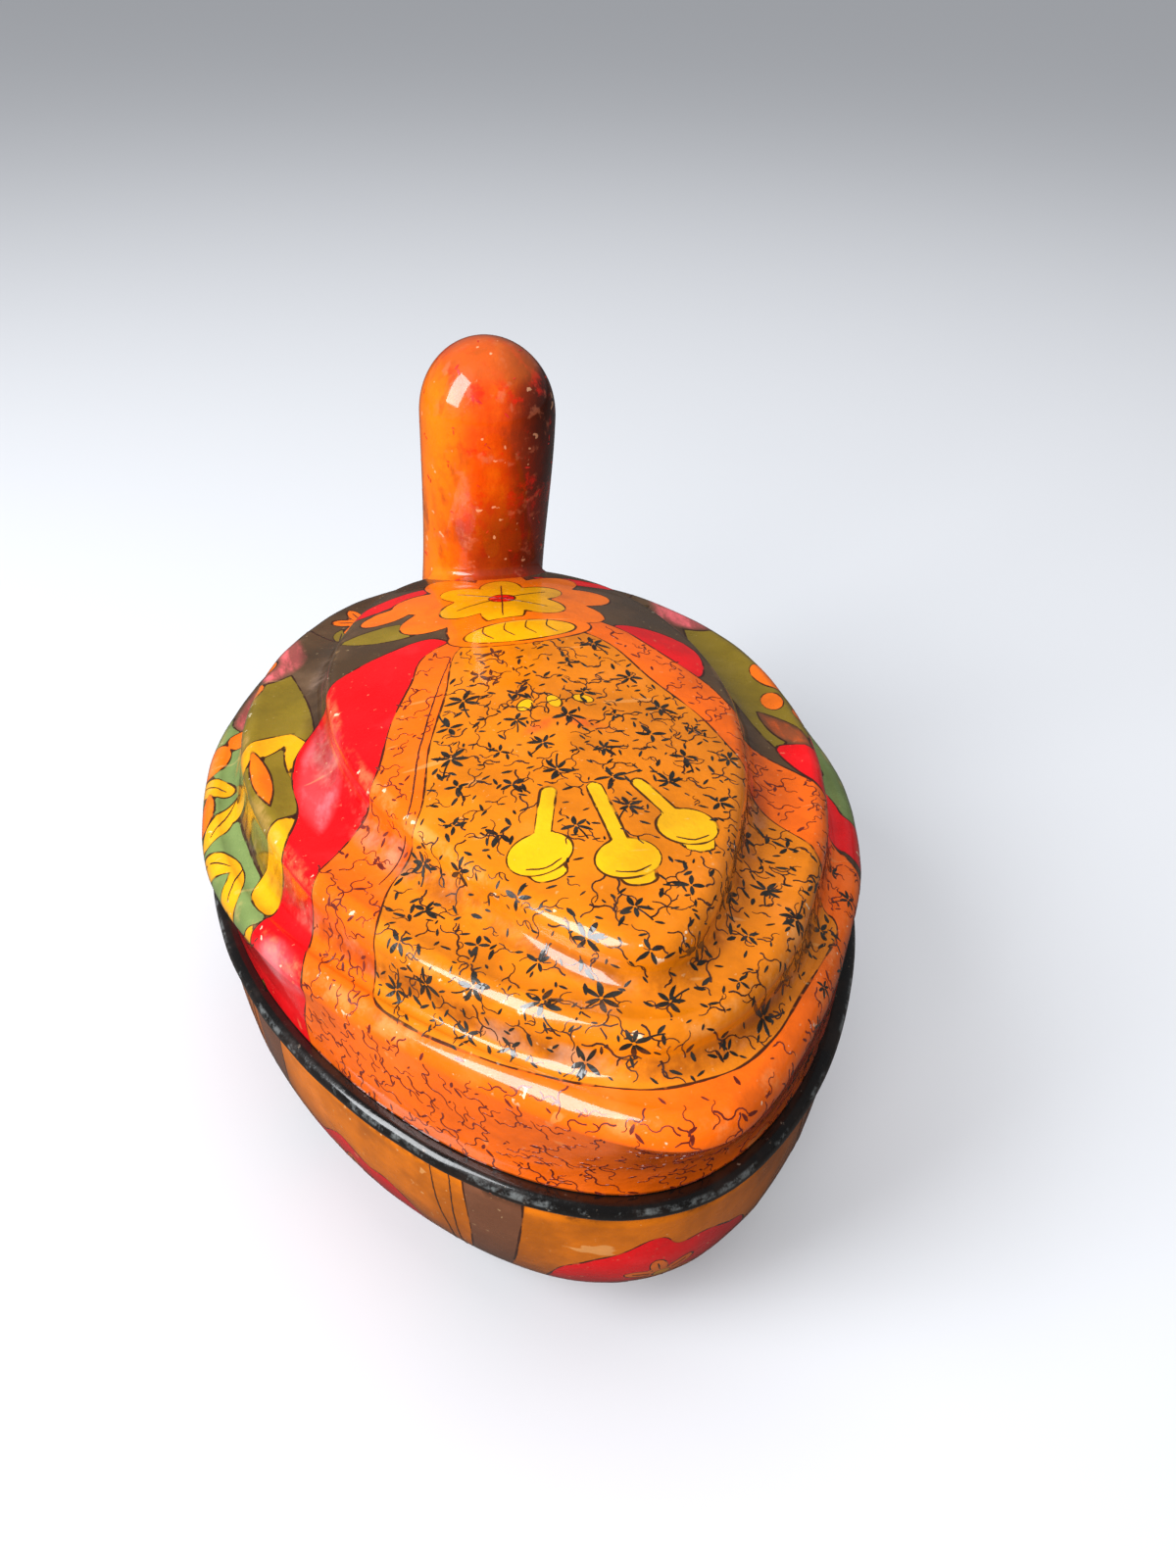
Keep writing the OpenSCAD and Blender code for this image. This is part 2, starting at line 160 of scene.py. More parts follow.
class BirdBoxPaint(PropertyGroup):
    """Colours of the ground, the ornament and the lacquer"""

    umber: colour("Umber", "Dark ground of the breast and flanks", 88, 64, 42)
    ochre: colour("Ochre", "Gold ground of the sprigged panel", 222, 122, 8)
    orange: colour("Orange", "Orange ground of the sprigged border", 246, 104, 4)
    scarlet: colour("Scarlet", "Red fields and petals", 240, 3, 14)
    rose: colour("Rose", "Pink-red patches", 252, 112, 118)
    olive: colour("Olive", "Green-brown leaves and fields", 136, 112, 26)
    sage: colour("Sage", "Pale green leaves", 122, 142, 80)
    amber: colour("Amber", "Orange petals", 252, 116, 4)
    yellow: colour("Yellow", "Yellow petals and bands", 244, 168, 6)
    gold: colour("Gold", "Gold buds", 250, 180, 8)
    rust: colour("Rust", "Faint red-brown leaves", 226, 92, 26)
    ink: colour("Ink", "Dark outlines", 52, 22, 10)
    sprig: colour("Sprig", "Black star flowers", 26, 22, 14)
    vine: colour("Vine", "Red-brown hairlines on the border", 96, 22, 6)
    bowl: colour("Bowl", "Golden brown ground of the bowl", 214, 112, 8)
    band: colour("Band", "Brown bands on the bowl", 120, 74, 50)
    black: colour("Black", "Black edging and the inside's lacquer", 14, 12, 11)


class BirdBoxSprigs(PropertyGroup):
    """Spacing and size of the small painted marks"""

    star_gap: length("Star spacing", "Least distance between two star flowers", 7.0)
    vine_gap: length("Hairline spacing", "Least distance between two hairlines", 3.3)
    dash_gap: length("Dash spacing", "Least distance between two short strokes", 3.0)
    star_size: length("Star size", "Reach of a star flower's petals", 2.6)
    line_w: length("Hairline width", "Width of a hairline", 0.27)
    lift: length("Paint thickness", "How far the marks stand on the ground", 0.05)
    seed: IntProperty(name="Seed", description="Seed of the marks' scatter", default=7)


class BirdBoxStudio(PropertyGroup):
    """Light on the object"""

    window: FloatProperty(name="Window", description="Power of the window lamp", default=7.5, unit="POWER")
    fill: FloatProperty(name="Fill", description="Power of the overhead lamp", default=4.2, unit="POWER")
    low_fill: FloatProperty(
        name="Low fill", description="Power of the low lamp behind the tail", default=9.0, unit="POWER")
    sky: FloatProperty(name="Sky", description="Strength of the surroundings", default=0.4)


def form():
    """The sizes given in the panel"""
    return bpy.context.scene.bird_box_form


def in_mm(name):
    """A size of the form in millimetres"""
    return getattr(form(), name) / MM


class Outline:
    """An egg outline in plan whose edge sweeps up to the tail and down to the breast, in millimetres"""

    SWEEP = 1.4

    def __init__(self, half_w, front, rear, point, height, rise=0.0, drop=0.0, edge=0.0):
        self.half_w = half_w
        self.front = front
        self.rear = rear
        self.point = point
        self.height = height
        self.rise = rise
        self.drop = drop
        self.edge = edge

    def stepped(self, side, front, rear, point, up, rise, drop, edge):
        """The next outline, stepped in from this one"""
        return Outline(self.half_w - side, self.front - front, self.rear - rear, point,
                       self.height + up, rise, drop, edge)

    def plan(self, t):
        c, s = np.cos(t), np.sin(t)
        taper = np.where(s >= 0, 1, 1 - self.point + self.point * c * c)
        return np.stack([self.half_w * c * taper, np.where(s >= 0, self.front, self.rear) * s], -1)

    def outward(self, t):
        c, s = np.cos(t), np.sin(t)
        slope = -self.half_w * s * np.where(s >= 0, 1, 1 - self.point + 3 * self.point * c * c)
        way = np.stack([np.where(s >= 0, self.front, self.rear) * c, -slope], -1)
        return way / np.linalg.norm(way, axis=-1, keepdims=True)

    def inset(self, t, d):
        return self.plan(t) - self.outward(t) * d

    def ring(self, t, d, z):
        return lift(self.inset(t, d), z)

    def edge_z(self, t):
        s = np.sin(t)
        return self.height + np.where(s < 0, self.rise, -self.drop) * np.abs(s) ** self.SWEEP

    def arc(self, t, degrees):
        """The rounded edge, at an angle of its arc from upright to level"""
        a, mid = math.radians(degrees), math.radians(45)
        flat = self.inset(t, self.edge * (math.cos(mid) - math.cos(a)))
        return lift(flat, self.edge_z(t) + self.edge * (math.sin(a) - math.sin(mid)))


def lift(flat, z):
    """Plan points put at a height"""
    return np.concatenate([flat, np.broadcast_to(z, flat.shape[:-1])[..., None]], -1)


def shade(name):
    """A paint colour of the panel"""
    return tuple(getattr(bpy.context.scene.bird_box_paint, name))


def outlines():
    """The rim and the three tiers"""
    rim = Outline(in_mm("half_w"), in_mm("front"), in_mm("rear"), point=0.17, height=RIM_HIGH.z / MM)
    lower = rim.stepped(side=1.1, front=-1, rear=-6.1, point=0.49, up=11.8, rise=13.5, drop=0.8, edge=4)
    middle = lower.stepped(side=8.7, front=8, rear=10.6, point=0.31, up=12.4, rise=7.1, drop=5, edge=3.2)
    upper = middle.stepped(side=15.6, front=17.3, rear=8.7, point=0.45, up=8.5, rise=4.8, drop=3, edge=3.2)
    return rim, lower, middle, upper


def turn_angles(count=AROUND):
    """Angles spaced evenly all round"""
    return np.arange(count) * (2 * math.pi / count)


def gutter(low, high, t, degrees):
    """Between two tiers: level at the lower one, upright at the upper one, a little hollow"""
    a = math.radians(degrees)
    p, q = low.arc(t, ARC_END), high.arc(t, 0)
    point = p + (q - p) * math.sin(a)
    point[..., 2] = p[..., 2] + (q[..., 2] - p[..., 2]) * (1 - math.cos(a))
    point[..., 2] -= in_mm("gutter_dip") * math.sin(2 * a)
    return point


def lid_rings(t):
    """Rings of the lid's outer face from its foot to the crown, with each ring's outline and its relief.
    Relief is 1 on a tier's edge, -1 in the foot of a gutter and 0 on open ground."""
    rim, lower, middle, upper = outlines()
    foot_in = in_mm("rim_proud") + in_mm("wall") - in_mm("collar_gap") - in_mm("lid_wall")
    foot = rim.ring(t, foot_in, rim.height + in_mm("seat_gap"))
    top = lower.arc(t, 0)
    rings = []
    for i in range(WALL_STEPS):
        k = i / WALL_STEPS
        ring = foot + (top - foot) * k ** WALL_FLARE
        ring[..., 2] = foot[..., 2] + (top[..., 2] - foot[..., 2]) * k
        rings.append((ring, lower, 0.0))
    for low, high in ((lower, middle), (middle, upper), (upper, None)):
        for i in range(ARC_STEPS + 1):
            rings.append((low.arc(t, ARC_END * i / ARC_STEPS), low, math.sin(math.pi * i / ARC_STEPS) ** 0.5))
        if high is None:
            break
        for i in range(1, GUTTER_STEPS):
            k = i / GUTTER_STEPS
            rings.append((gutter(low, high, t, 90 * k), high, -max(0.0, math.sin(math.pi * (1.6 * k - 0.6)))))
    edge = upper.arc(t, ARC_END)
    crown = upper.height + in_mm("crown_rise")
    for i in range(1, CROWN_STEPS):
        u = 1 - i / CROWN_STEPS
        ring = edge * u
        ring[..., 2] = crown + (edge[..., 2] - crown) * u * u
        rings.append((ring, upper, 0.0))
    return rings, crown


def grid_normals(grid):
    """Unit normals of a grid of rings, each ring running round and the rings running up"""
    across = np.roll(grid, -1, 1) - np.roll(grid, 1, 1)
    normal = np.cross(across, np.gradient(grid, axis=0))
    return normal / np.maximum(np.linalg.norm(normal, axis=-1, keepdims=True), 1e-9)


def waver(grid, amount):
    """Soft unevenness of hand-laid paper, as a distance along the normal"""
    x, y, z = grid[..., 0], grid[..., 1], grid[..., 2]
    long_wave = np.sin(x / 8.3 + 1.1) * np.sin(y / 10.7 + 0.4) + 0.8 * np.sin((x + y) / 6.1 + z / 7.3)
    short_wave = 0.35 * np.sin(x / 2.9 + y / 4.3) * np.sin(y / 3.1 - z / 3.7 + 0.7)
    return amount * (long_wave + short_wave) / 1.6


def paint_chart(rings, first_flat):
    """Plan coordinates unrolled along each section, so that the ornament keeps its size on the walls"""
    t = turn_angles(rings[0][0].shape[0])
    chart = [None] * len(rings)
    for i in range(first_flat, len(rings)):
        chart[i] = rings[i][0][:, :2]
    for i in range(first_flat - 1, -1, -1):
        step = np.linalg.norm(rings[i][0] - rings[i + 1][0], axis=-1, keepdims=True)
        chart[i] = chart[i + 1] + rings[i][1].outward(t) * step
    return np.array(chart)


def compass(degrees):
    """The unit direction at an angle in plan"""
    a = math.radians(degrees)
    return math.cos(a), math.sin(a)


class Canvas:
    """Shapes laid over each other. Each colour keeps the distance to its visible edge, negative inside,
    and the drawn lines are kept as points with a half width."""

    LINE_HALF = 0.13
    STEM_HALF = 0.2
    LEAF_SPREAD = 0.85
    PETAL_AT, PETAL_LONG, PETAL_WIDE, HEART = 0.58, 0.45, 1.35, 0.24
    PETAL_VEIN = (0.34, 0.8)

    def __init__(self, chart, names, wrap=0.0):
        self.u = chart[..., 0]
        self.v = chart[..., 1]
        self.wrap = wrap
        self.colours = {name: np.full(self.u.shape, FAR) for name in names}
        self.lines = []

    def local(self, centre, turn=0.0):
        """Coordinates from a centre, turned by an angle in degrees"""
        du, dv = self.u - centre[0], self.v - centre[1]
        if self.wrap:
            du = (du + self.wrap / 2) % self.wrap - self.wrap / 2
        a = math.radians(turn)
        return du * math.cos(a) + dv * math.sin(a), dv * math.cos(a) - du * math.sin(a)

    def to_oval(self, centre, long_r, short_r, turn=0.0):
        """Distance to an oval"""
        x, y = self.local(centre, turn)
        near = np.sqrt((x / long_r) ** 2 + (y / short_r) ** 2) + 1e-9
        slope = np.sqrt((x / long_r ** 2) ** 2 + (y / short_r ** 2) ** 2) + 1e-9
        return near * (near - 1) / slope

    def to_leaf(self, base, tip, width):
        """Distance to a leaf with two pointed ends"""
        mid = ((base[0] + tip[0]) / 2, (base[1] + tip[1]) / 2)
        half = math.dist(base, tip) / 2
        x, y = self.local(mid, math.degrees(math.atan2(tip[1] - base[1], tip[0] - base[0])))
        bend = (half * half + width * width / 4) / width
        return np.hypot(x, np.abs(y) + bend - width / 2) - bend

    def to_line(self, points):
        """Distance to a drawn line through points"""
        best = np.full(self.u.shape, FAR)
        for (ax, ay), (bx, by) in zip(points, points[1:]):
            x, y = self.local((ax, ay))
            ex, ey = bx - ax, by - ay
            along = np.clip((x * ex + y * ey) / (ex * ex + ey * ey + 1e-9), 0, 1)
            best = np.minimum(best, np.hypot(x - ex * along, y - ey * along))
        return best

    def to_field(self, points):
        """Distance to a smooth closed outline through points"""
        loop = smooth_loop(points)
        inside = np.zeros(self.u.shape, bool)
        x, y = self.local(loop[0])
        for (ax, ay), (bx, by) in zip(loop, loop[1:] + loop[:1]):
            ax, bx, ay, by = ax - loop[0][0], bx - loop[0][0], ay - loop[0][1], by - loop[0][1]
            if ay != by:
                crosses = (ay > y) != (by > y)
                inside ^= crosses & (x < (bx - ax) * (y - ay) / (by - ay) + ax)
        edge = self.to_line(loop + loop[:1])
        return np.where(inside, -edge, edge)

    def lay(self, name, distance, outlined=True):
        """Paints a shape over what lies there. One that isn't outlined leaves the paint below as it is."""
        for key, old in self.colours.items():
            if key == name:
                self.colours[key] = np.minimum(old, distance)
            elif outlined:
                self.colours[key] = np.maximum(old, -distance)

    def draw(self, points, half=LINE_HALF):
        """Keeps a line to be drawn over the paint"""
        self.lines.append((points, half))

    def oval(self, name, centre, long_r, short_r, turn=0.0, outlined=True):
        self.lay(name, self.to_oval(centre, long_r, short_r, turn), outlined)

    def leaf(self, name, base, tip, width, outlined=True, vein=0):
        """A leaf. Its vein, if it has one, leaves the last of this many parts of the leaf free."""
        self.lay(name, self.to_leaf(base, tip, width), outlined)
        if vein:
            self.draw([base, tuple((a + (vein - 1) * b) / vein for a, b in zip(base, tip))])

    def field(self, name, points):
        self.lay(name, self.to_field(points))

    def flower(self, centre, reach, petals, outer, heart, turn=0.0):
        """A rosette of rounded petals with a vein in each and a heart"""
        for i in range(petals):
            a = turn + 360 * i / petals
            x, y = compass(a)
            middle = (centre[0] + x * reach * self.PETAL_AT, centre[1] + y * reach * self.PETAL_AT)
            self.oval(outer, middle, reach * self.PETAL_LONG, reach * self.PETAL_WIDE / petals, a)
            self.draw([(centre[0] + x * reach * s, centre[1] + y * reach * s) for s in self.PETAL_VEIN])
        self.oval(heart, centre, reach * self.HEART, reach * self.HEART)

    def spray(self, points, width, name, leaf):
        """A stem with leaves on both sides"""
        self.draw(points, self.STEM_HALF)
        for i, (a, b) in enumerate(zip(points, points[1:])):
            spread = self.LEAF_SPREAD if i % 2 else -self.LEAF_SPREAD
            way = math.atan2(b[1] - a[1], b[0] - a[0]) + spread
            tip = (a[0] + leaf * math.cos(way), a[1] + leaf * math.sin(way))
            self.leaf(name, a, tip, width, vein=3)


def between(points, s):
    """A place on the smooth curve through four points, from the second, where s is 0, to the third"""
    return tuple(
        0.5 * (2 * b + (c - a) * s + (2 * a - 5 * b + 4 * c - d) * s * s + (3 * b - a - 3 * c + d) * s ** 3)
        for a, b, c, d in zip(*points))


def smooth_loop(points):
    """A closed curve through points"""
    loop = []
    for i in range(len(points)):
        near = [points[(i + k - 1) % len(points)] for k in range(4)]
        loop += [between(near, j / LOOP_STEPS) for j in range(LOOP_STEPS)]
    return loop


def shell_mesh(name, rings, first=None, last=None):
    """A closed skin over rings that run counter-clockwise: between two poles, or back to the first ring"""
    count = len(rings[0])
    rows = len(rings)
    points = np.concatenate([np.reshape(r, (-1, 3)) for r in rings])
    column = np.arange(count)
    ahead = (column + 1) % count
    quads = []
    for i in range(rows - 1 if first is not None else rows):
        low, high = i * count, ((i + 1) % rows) * count
        quads.append(np.stack([low + column, low + ahead, high + ahead, high + column], -1))
    faces = np.concatenate(quads).tolist()
    if first is not None:
        base, apex = rows * count, rows * count + 1
        points = np.concatenate([points, [first, last]])
        faces += np.stack([np.full(count, base), ahead, column], -1).tolist()
        top = (rows - 1) * count
        faces += np.stack([top + column, top + ahead, np.full(count, apex)], -1).tolist()
    mesh = bpy.data.meshes.new(name)
    mesh.from_pydata((points * MM).tolist(), [], faces)
    mesh.shade_smooth()
    mesh.update()
    return mesh


def put_attribute(mesh, name, values):
    """One number a point. The poles past the end of the list take the last ring's mean."""
    flat = np.ravel(values)
    full = np.full(len(mesh.vertices), np.mean(flat[-AROUND:]), np.float32)
    full[:len(flat)] = flat
    mesh.attributes.new(name, "FLOAT", "POINT").data.foreach_set("value", full)


def linked(name, data):
    """A new object in the scene"""
    piece = bpy.data.objects.new(name, data)
    bpy.context.scene.collection.objects.link(piece)
    return piece


def place(mesh, body, materials=(), replaces=()):
    """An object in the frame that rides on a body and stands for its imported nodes"""
    piece = linked(mesh.name, mesh)
    for material in materials:
        mesh.materials.append(material)
    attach(piece, body)
    if replaces:
        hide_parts(*replaces)
    return piece


def put_slots(mesh, *spans):
    """Gives the second material to spans of faces"""
    slots = np.zeros(len(mesh.polygons), np.int32)
    for span in spans:
        slots[span] = 1
    mesh.polygons.foreach_set("material_index", slots)


class Wire:
    """A shader socket that takes part in sums like a number"""

    def __init__(self, finish, socket):
        self.finish = finish
        self.socket = socket

    def maths(self, operation, *others):
        sockets = dict(enumerate((self, *others)))
        return self.finish.node("ShaderNodeMath", {"operation": operation}, sockets)

    def __add__(self, other):
        return self.maths("ADD", other)

    def __mul__(self, other):
        return self.maths("MULTIPLY", other)

    def __sub__(self, other):
        return self.maths("SUBTRACT", other)

    def __rsub__(self, other):
        return self.finish.node("ShaderNodeMath", {"operation": "SUBTRACT"}, {0: other, 1: self})

    def __truediv__(self, other):
        return self.maths("DIVIDE", other)

    def __abs__(self):
        return self.maths("ABSOLUTE")

    def ramp(self, low, high, start=0.0, end=1.0):
        """Runs smoothly from start to end while this runs from low to high"""
        sockets = {0: self, 1: low, 2: high, 3: start, 4: end}
        return self.finish.node("ShaderNodeMapRange", {"interpolation_type": "SMOOTHSTEP"}, sockets)


class Finish:
    """A material of nodes on one lacquered surface"""

    SOCKETS = {"base": "Base Color", "rough": "Roughness", "coat": "Coat Weight",
               "coat_rough": "Coat Roughness", "specular": "Specular IOR Level",
               "glow": "Emission Color", "glow_power": "Emission Strength"}

    def __init__(self, name):
        self.material = bpy.data.materials.new(name)
        self.material.use_nodes = True
        self.tree = self.material.node_tree
        self.surface = self.tree.nodes["Principled BSDF"]
        self.place = self.node("ShaderNodeTexCoord", out="Object")

    def node(self, kind, settings=None, sockets=None, out=0):
        """Any node: its settings are set first, then its sockets by name or number"""
        made = self.tree.nodes.new(kind)
        for key, value in (settings or {}).items():
            setattr(made, key, value)
        for key, value in (sockets or {}).items():
            self.feed(made.inputs[key], value)
        return Wire(self, made.outputs[out])

    def feed(self, socket, value):
        if isinstance(value, Wire):
            self.tree.links.new(value.socket, socket)
        elif hasattr(value, "__len__") and len(value) == 3 and len(socket.default_value) == 4:
            socket.default_value = (*value, 1)
        else:
            socket.default_value = value

    def noise(self, scale, detail=3.0, rough=0.55, stretch=None, bend=0.0):
        """Cloudy noise from about 0.3 to 0.7, with a scale in waves a metre"""
        where = self.place
        if stretch:
            where = self.node("ShaderNodeMapping", {}, {"Vector": self.place, "Scale": stretch})
        return self.node("ShaderNodeTexNoise", {}, {
            "Vector": where, "Scale": scale, "Detail": detail, "Roughness": rough, "Distortion": bend})

    def axis(self, name):
        """One coordinate of the place on the object"""
        return self.node("ShaderNodeSeparateXYZ", {}, {0: self.place}, out=name)

    def distance(self, point):
        """How far the place on the object is from a point"""
        sockets = {0: self.place, 1: point}
        return self.node("ShaderNodeVectorMath", {"operation": "DISTANCE"}, sockets, out="Value")

    def mix(self, share, under, over, blend="MIX"):
        settings = {"data_type": "RGBA", "blend_type": blend}
        return self.node("ShaderNodeMix", settings, {0: share, 6: under, 7: over}, out=2)

    def coats(self, result, *layers):
        """Coats laid over a colour one by one, each with its share, its colour and how it blends"""
        for share, *coat in layers:
            result = self.mix(share, result, *coat)
        return result

    def attribute(self, name):
        return self.node("ShaderNodeAttribute", {"attribute_name": name}, out="Fac")

    def set(self, **sockets):
        for key, value in sockets.items():
            self.feed(self.surface.inputs[self.SOCKETS[key]], value)

    def bump(self, height, strength, distance):
        sockets = {"Height": height, "Strength": strength, "Distance": distance}
        self.feed(self.surface.inputs["Normal"], self.node("ShaderNodeBump", {}, sockets, out="Normal"))


def tinted(finish, ground, dark, light, scale=60):
    """A brushed ground whose tone drifts between a darker and a lighter one"""
    drift = finish.noise(scale, 4, 0.6)
    tone = finish.mix(drift.ramp(0.35, 0.55), [c * dark for c in ground], ground)
    return finish.mix(drift.ramp(0.55, 0.72), tone, [min(1, c * light + 0.01) for c in ground])


def lacquered(name, ground_of, worn=0.5):
    """Painted and lacquered paper: ground_of gives its colour, which wear, dust and age then change"""
    finish = Finish(name)
    ground = ground_of(finish)
    grime = finish.noise(38, 5, 0.7).ramp(0.56, 0.78)
    speck = finish.noise(900, 2, 0.6).ramp(0.69, 0.76)
    scratch = finish.noise(260, 2, 0.5, stretch=(0.15, 1.4, 1.0)).ramp(0.70, 0.735)
    colours = finish.coats(
        ground,
        (grime * 0.22 * worn, srgb(70, 32, 12), "MULTIPLY"),
        (speck * 0.5 * worn, srgb(240, 205, 150)),
        (scratch * 0.35 * worn, srgb(250, 200, 130)))
    finish.set(base=colours, rough=finish.noise(120, 4, 0.65).ramp(0.3, 0.75, 0.2, 0.5))
    finish.set(coat=1.0, coat_rough=0.07, specular=0.15)
    finish.bump(finish.noise(170, 4, 0.6) + finish.noise(1100, 2, 0.5) * 0.25, 0.35, 0.0006)
    return finish.material


RUBBED = ("rose", "rust")
LID_COLOURS = ("ochre", "orange", "scarlet", "rose", "olive", "sage", "amber", "yellow", "gold", "rust")


def layered(finish, names, ground):
    """The canvas's colours over their ground, and its ink lines"""
    result, nearest = ground, None
    brushed = finish.noise(210, 4, 0.65, stretch=(1.0, 0.35, 0.6)).ramp(0.42, 0.62)
    for name in names:
        field = finish.attribute(name)
        coat = tinted(finish, shade(name), 0.8, 1.12, 75)
        if name in RUBBED:
            result = finish.mix(field.ramp(-2.2, 0.3, 1, 0) * (brushed * 0.7 + 0.3), result, coat)
            continue
        result = finish.mix(field.ramp(-0.07, 0.07, 1, 0), result, coat)
        edge = abs(field)
        nearest = edge if nearest is None else nearest.maths("MINIMUM", edge)
    thick = finish.noise(170, 2).ramp(0.35, 0.65, 0.1, 0.24)
    line = (nearest / thick).ramp(0.7, 1.3, 1, 0) * finish.noise(330, 2).ramp(0.36, 0.46, 0.35, 0.95)
    return finish.mix(line, result, shade("ink"))


def lid_ground(finish):
    """The lid's paint, worn and chipped on the tiers' edges. In the gutters it is darkened with painted shade
    and some grime, and patched pale with dust and a painted glare of the window lamp
    """
    painted = layered(finish, LID_COLOURS, tinted(finish, shade("umber"), 0.7, 1.5))
    relief = finish.attribute("relief")
    hollow = 0 - relief
    patchy = finish.noise(95, 5, 0.7)
    worn = relief.ramp(0.6, 1.0) * patchy.ramp(0.5, 0.66)
    chipped = relief.ramp(0.4, 1.0) * finish.noise(420, 3, 0.6).ramp(0.66, 0.69)
    # Darker at the gutters' feet: painted shade, with some grime
    gutter_shade_and_grime = hollow.ramp(0.1, 1.0) * patchy.ramp(0.35, 0.6)
    # Pale pink patches in the gutters: dust, and a painted glare of the window lamp on the lacquer
    gutter_dust_and_glare = hollow.ramp(0.0, 0.9) * finish.noise(55, 5, 0.7).ramp(0.5, 0.68)
    return finish.coats(
        painted,
        (worn * 0.25, srgb(250, 190, 120)),
        (chipped * 0.75, srgb(240, 222, 190)),
        (gutter_shade_and_grime * 0.55, srgb(110, 54, 24), "MULTIPLY"),
        (gutter_dust_and_glare * 0.3, srgb(214, 178, 156)))


def lid_canvas(chart):
    """The lid's ornament, in millimetres on its chart: u to the right and v to the breast"""
    canvas = Canvas(chart, LID_COLOURS)
    flanks(canvas)
    red_sweep(canvas)
    canvas.field("orange", [
        (-15, 8), (-21, -2), (-26, -12), (-30, -24), (-35, -29), (-40, -35), (-44, -42), (-47, -49),
        (-53, -54), (-59, -61), (-64, -69), (-70, -80), (-80, -100), (-60, -150), (0, -160), (60, -150),
        (100, -110), (90, -72), (72, -62), (58, -53), (47, -47), (44, -38), (40, -28), (33, -19), (30, -10),
        (24, 2), (19, 10), (8, 16)])
    canvas.field("ochre", [
        (-11, 6), (-16, -8), (-21, -21), (-25, -36), (-31, -43), (-34, -51), (-36, -57), (-32, -64),
        (-26, -71), (-20, -77), (-12, -83), (-3, -87), (7, -86), (15, -81), (22, -74), (29, -67), (35, -60),
        (34, -54), (33, -48), (29, -40), (27, -32), (25, -22), (20, -10), (16, 2), (10, 8), (0, 9)])
    canvas.draw([(-13.6, 2), (-17.8, -8), (-22.6, -21), (-26.8, -35.4), (-32.6, -42)])
    breast_bloom(canvas)
    gold_buds(canvas)
    return canvas


def red_sweep(canvas):
    """The broad red fields that run from the crown down to the rim on both sides"""
    canvas.field("scarlet", [
        (-14, 12), (-24, 11), (-34, 7), (-41, -1), (-43, -10), (-43, -20), (-48, -31), (-58, -35),
        (-66, -43), (-74, -54), (-84, -68), (-96, -90), (-78, -96), (-62, -78), (-50, -60), (-38, -48),
        (-28, -32), (-16, -14), (-10, 0)])
    canvas.leaf("rose", (-37, 4), (-40, -27), 9, outlined=False)
    canvas.leaf("rose", (-53, -34), (-47, -50), 8, outlined=False)
    canvas.field("scarlet", [(19, 10), (27, 10), (33, 3), (31, -7), (26, -9), (21, 0)])
    canvas.field("scarlet", [
        (40, -22), (47, -22), (53, -32), (64, -32), (76, -42), (92, -58), (90, -74), (70, -60), (56, -50),
        (46, -42)])


def mirrored(side, *points):
    """Points on the left, where side is -1, or on the right, where it is 1"""
    return [(side * x, y) for x, y in points]


def flanks(canvas):
    """Leaves and petals on the dark ground of both flanks and the breast"""
    for side in (-1, 1):
        canvas.field("olive", mirrored(
            side, (43, 34), (50, 24), (52, 2), (50, -22), (46, -32), (40, -20), (38, 2), (39, 20)))
        canvas.field("sage", mirrored(
            side, (49, 34), (63, 22), (70, -4), (66, -26), (56, -38), (48, -33), (51, -18), (53, -2),
            (51, 14)))
        canvas.flower((side * 55, 50), 9, 6, "amber", "yellow", side * 12)
        canvas.flower((side * 34, 74), 7.5, 7, "yellow", "scarlet", side * 20)
        canvas.flower((side * 78, 34), 8, 5, "scarlet", "yellow", side * 30)
        canvas.flower((side * 62, 78), 8, 6, "rose", "yellow")
        canvas.spray(mirrored(side, (30, 40), (36, 48), (42, 58), (50, 66)), 3.2, "olive", 7)
        canvas.spray(mirrored(side, (12, 60), (20, 66), (24, 78), (22, 90)), 3.2, "sage", 7)
        canvas.leaf("amber", (side * 70, 40), (side * 66, 58), 5)
        canvas.oval("amber", (side * 57, 18), 5.0, 3.2, 70)
        canvas.field("rose", mirrored(side, (53, 29), (48, 42), (39, 46), (37, 33), (45, 25)))
        canvas.flower((side * 24, 49), 6.5, 6, "amber", "scarlet", side * 10)
        canvas.spray(mirrored(side, (48, 37), (41, 48), (32, 59), (20, 68)), 3.2, "sage", 5.5)
    canvas.flower((0, 92), 8, 8, "amber", "scarlet", 10)
    left_flank(canvas)
    right_flank(canvas)


def left_flank(canvas):
    """A garland of yellow leaves down the left side, and red and olive fields below it"""
    canvas.oval("amber", (-50, 23.5), 4.6, 3.4, 30)
    canvas.oval("amber", (-45, 33), 3.2, 2.2, 70)
    canvas.leaf("yellow", (-56, -3), (-41, 5), 5.4)
    canvas.leaf("yellow", (-42, 5), (-40, -15), 5.4)
    canvas.leaf("amber", (-49, 1), (-47, -16), 3.4)
    canvas.oval("yellow", (-43, -24), 7.0, 4.6, 12)
    canvas.oval("yellow", (-48, -28), 6.0, 3.4, -66)
    canvas.leaf("scarlet", (-39, -27), (-49, -38), 5)
    for base, tip in (((-61, 13), (-53, 5)), ((-53, 3), (-60, -8)), ((-61, -9), (-53, -18)),
                      ((-53, -17), (-59, -30)), ((-59, -31), (-49, -36))):
        canvas.leaf("yellow", base, tip, 4.6, vein=4)
    canvas.leaf("amber", (-58, 8), (-60, -3), 3.4)
    canvas.field("scarlet", [(-62, -11), (-59, -20), (-56, -34), (-63, -46), (-73, -36), (-71, -18)])
    canvas.field("olive", [(-66, -38), (-59, -44), (-64, -54), (-76, -60), (-79, -44)])
    canvas.oval("amber", (-69, -37), 4.6, 1.8, -70)
    canvas.oval("amber", (-64, -49), 5.4, 2.0, -60)


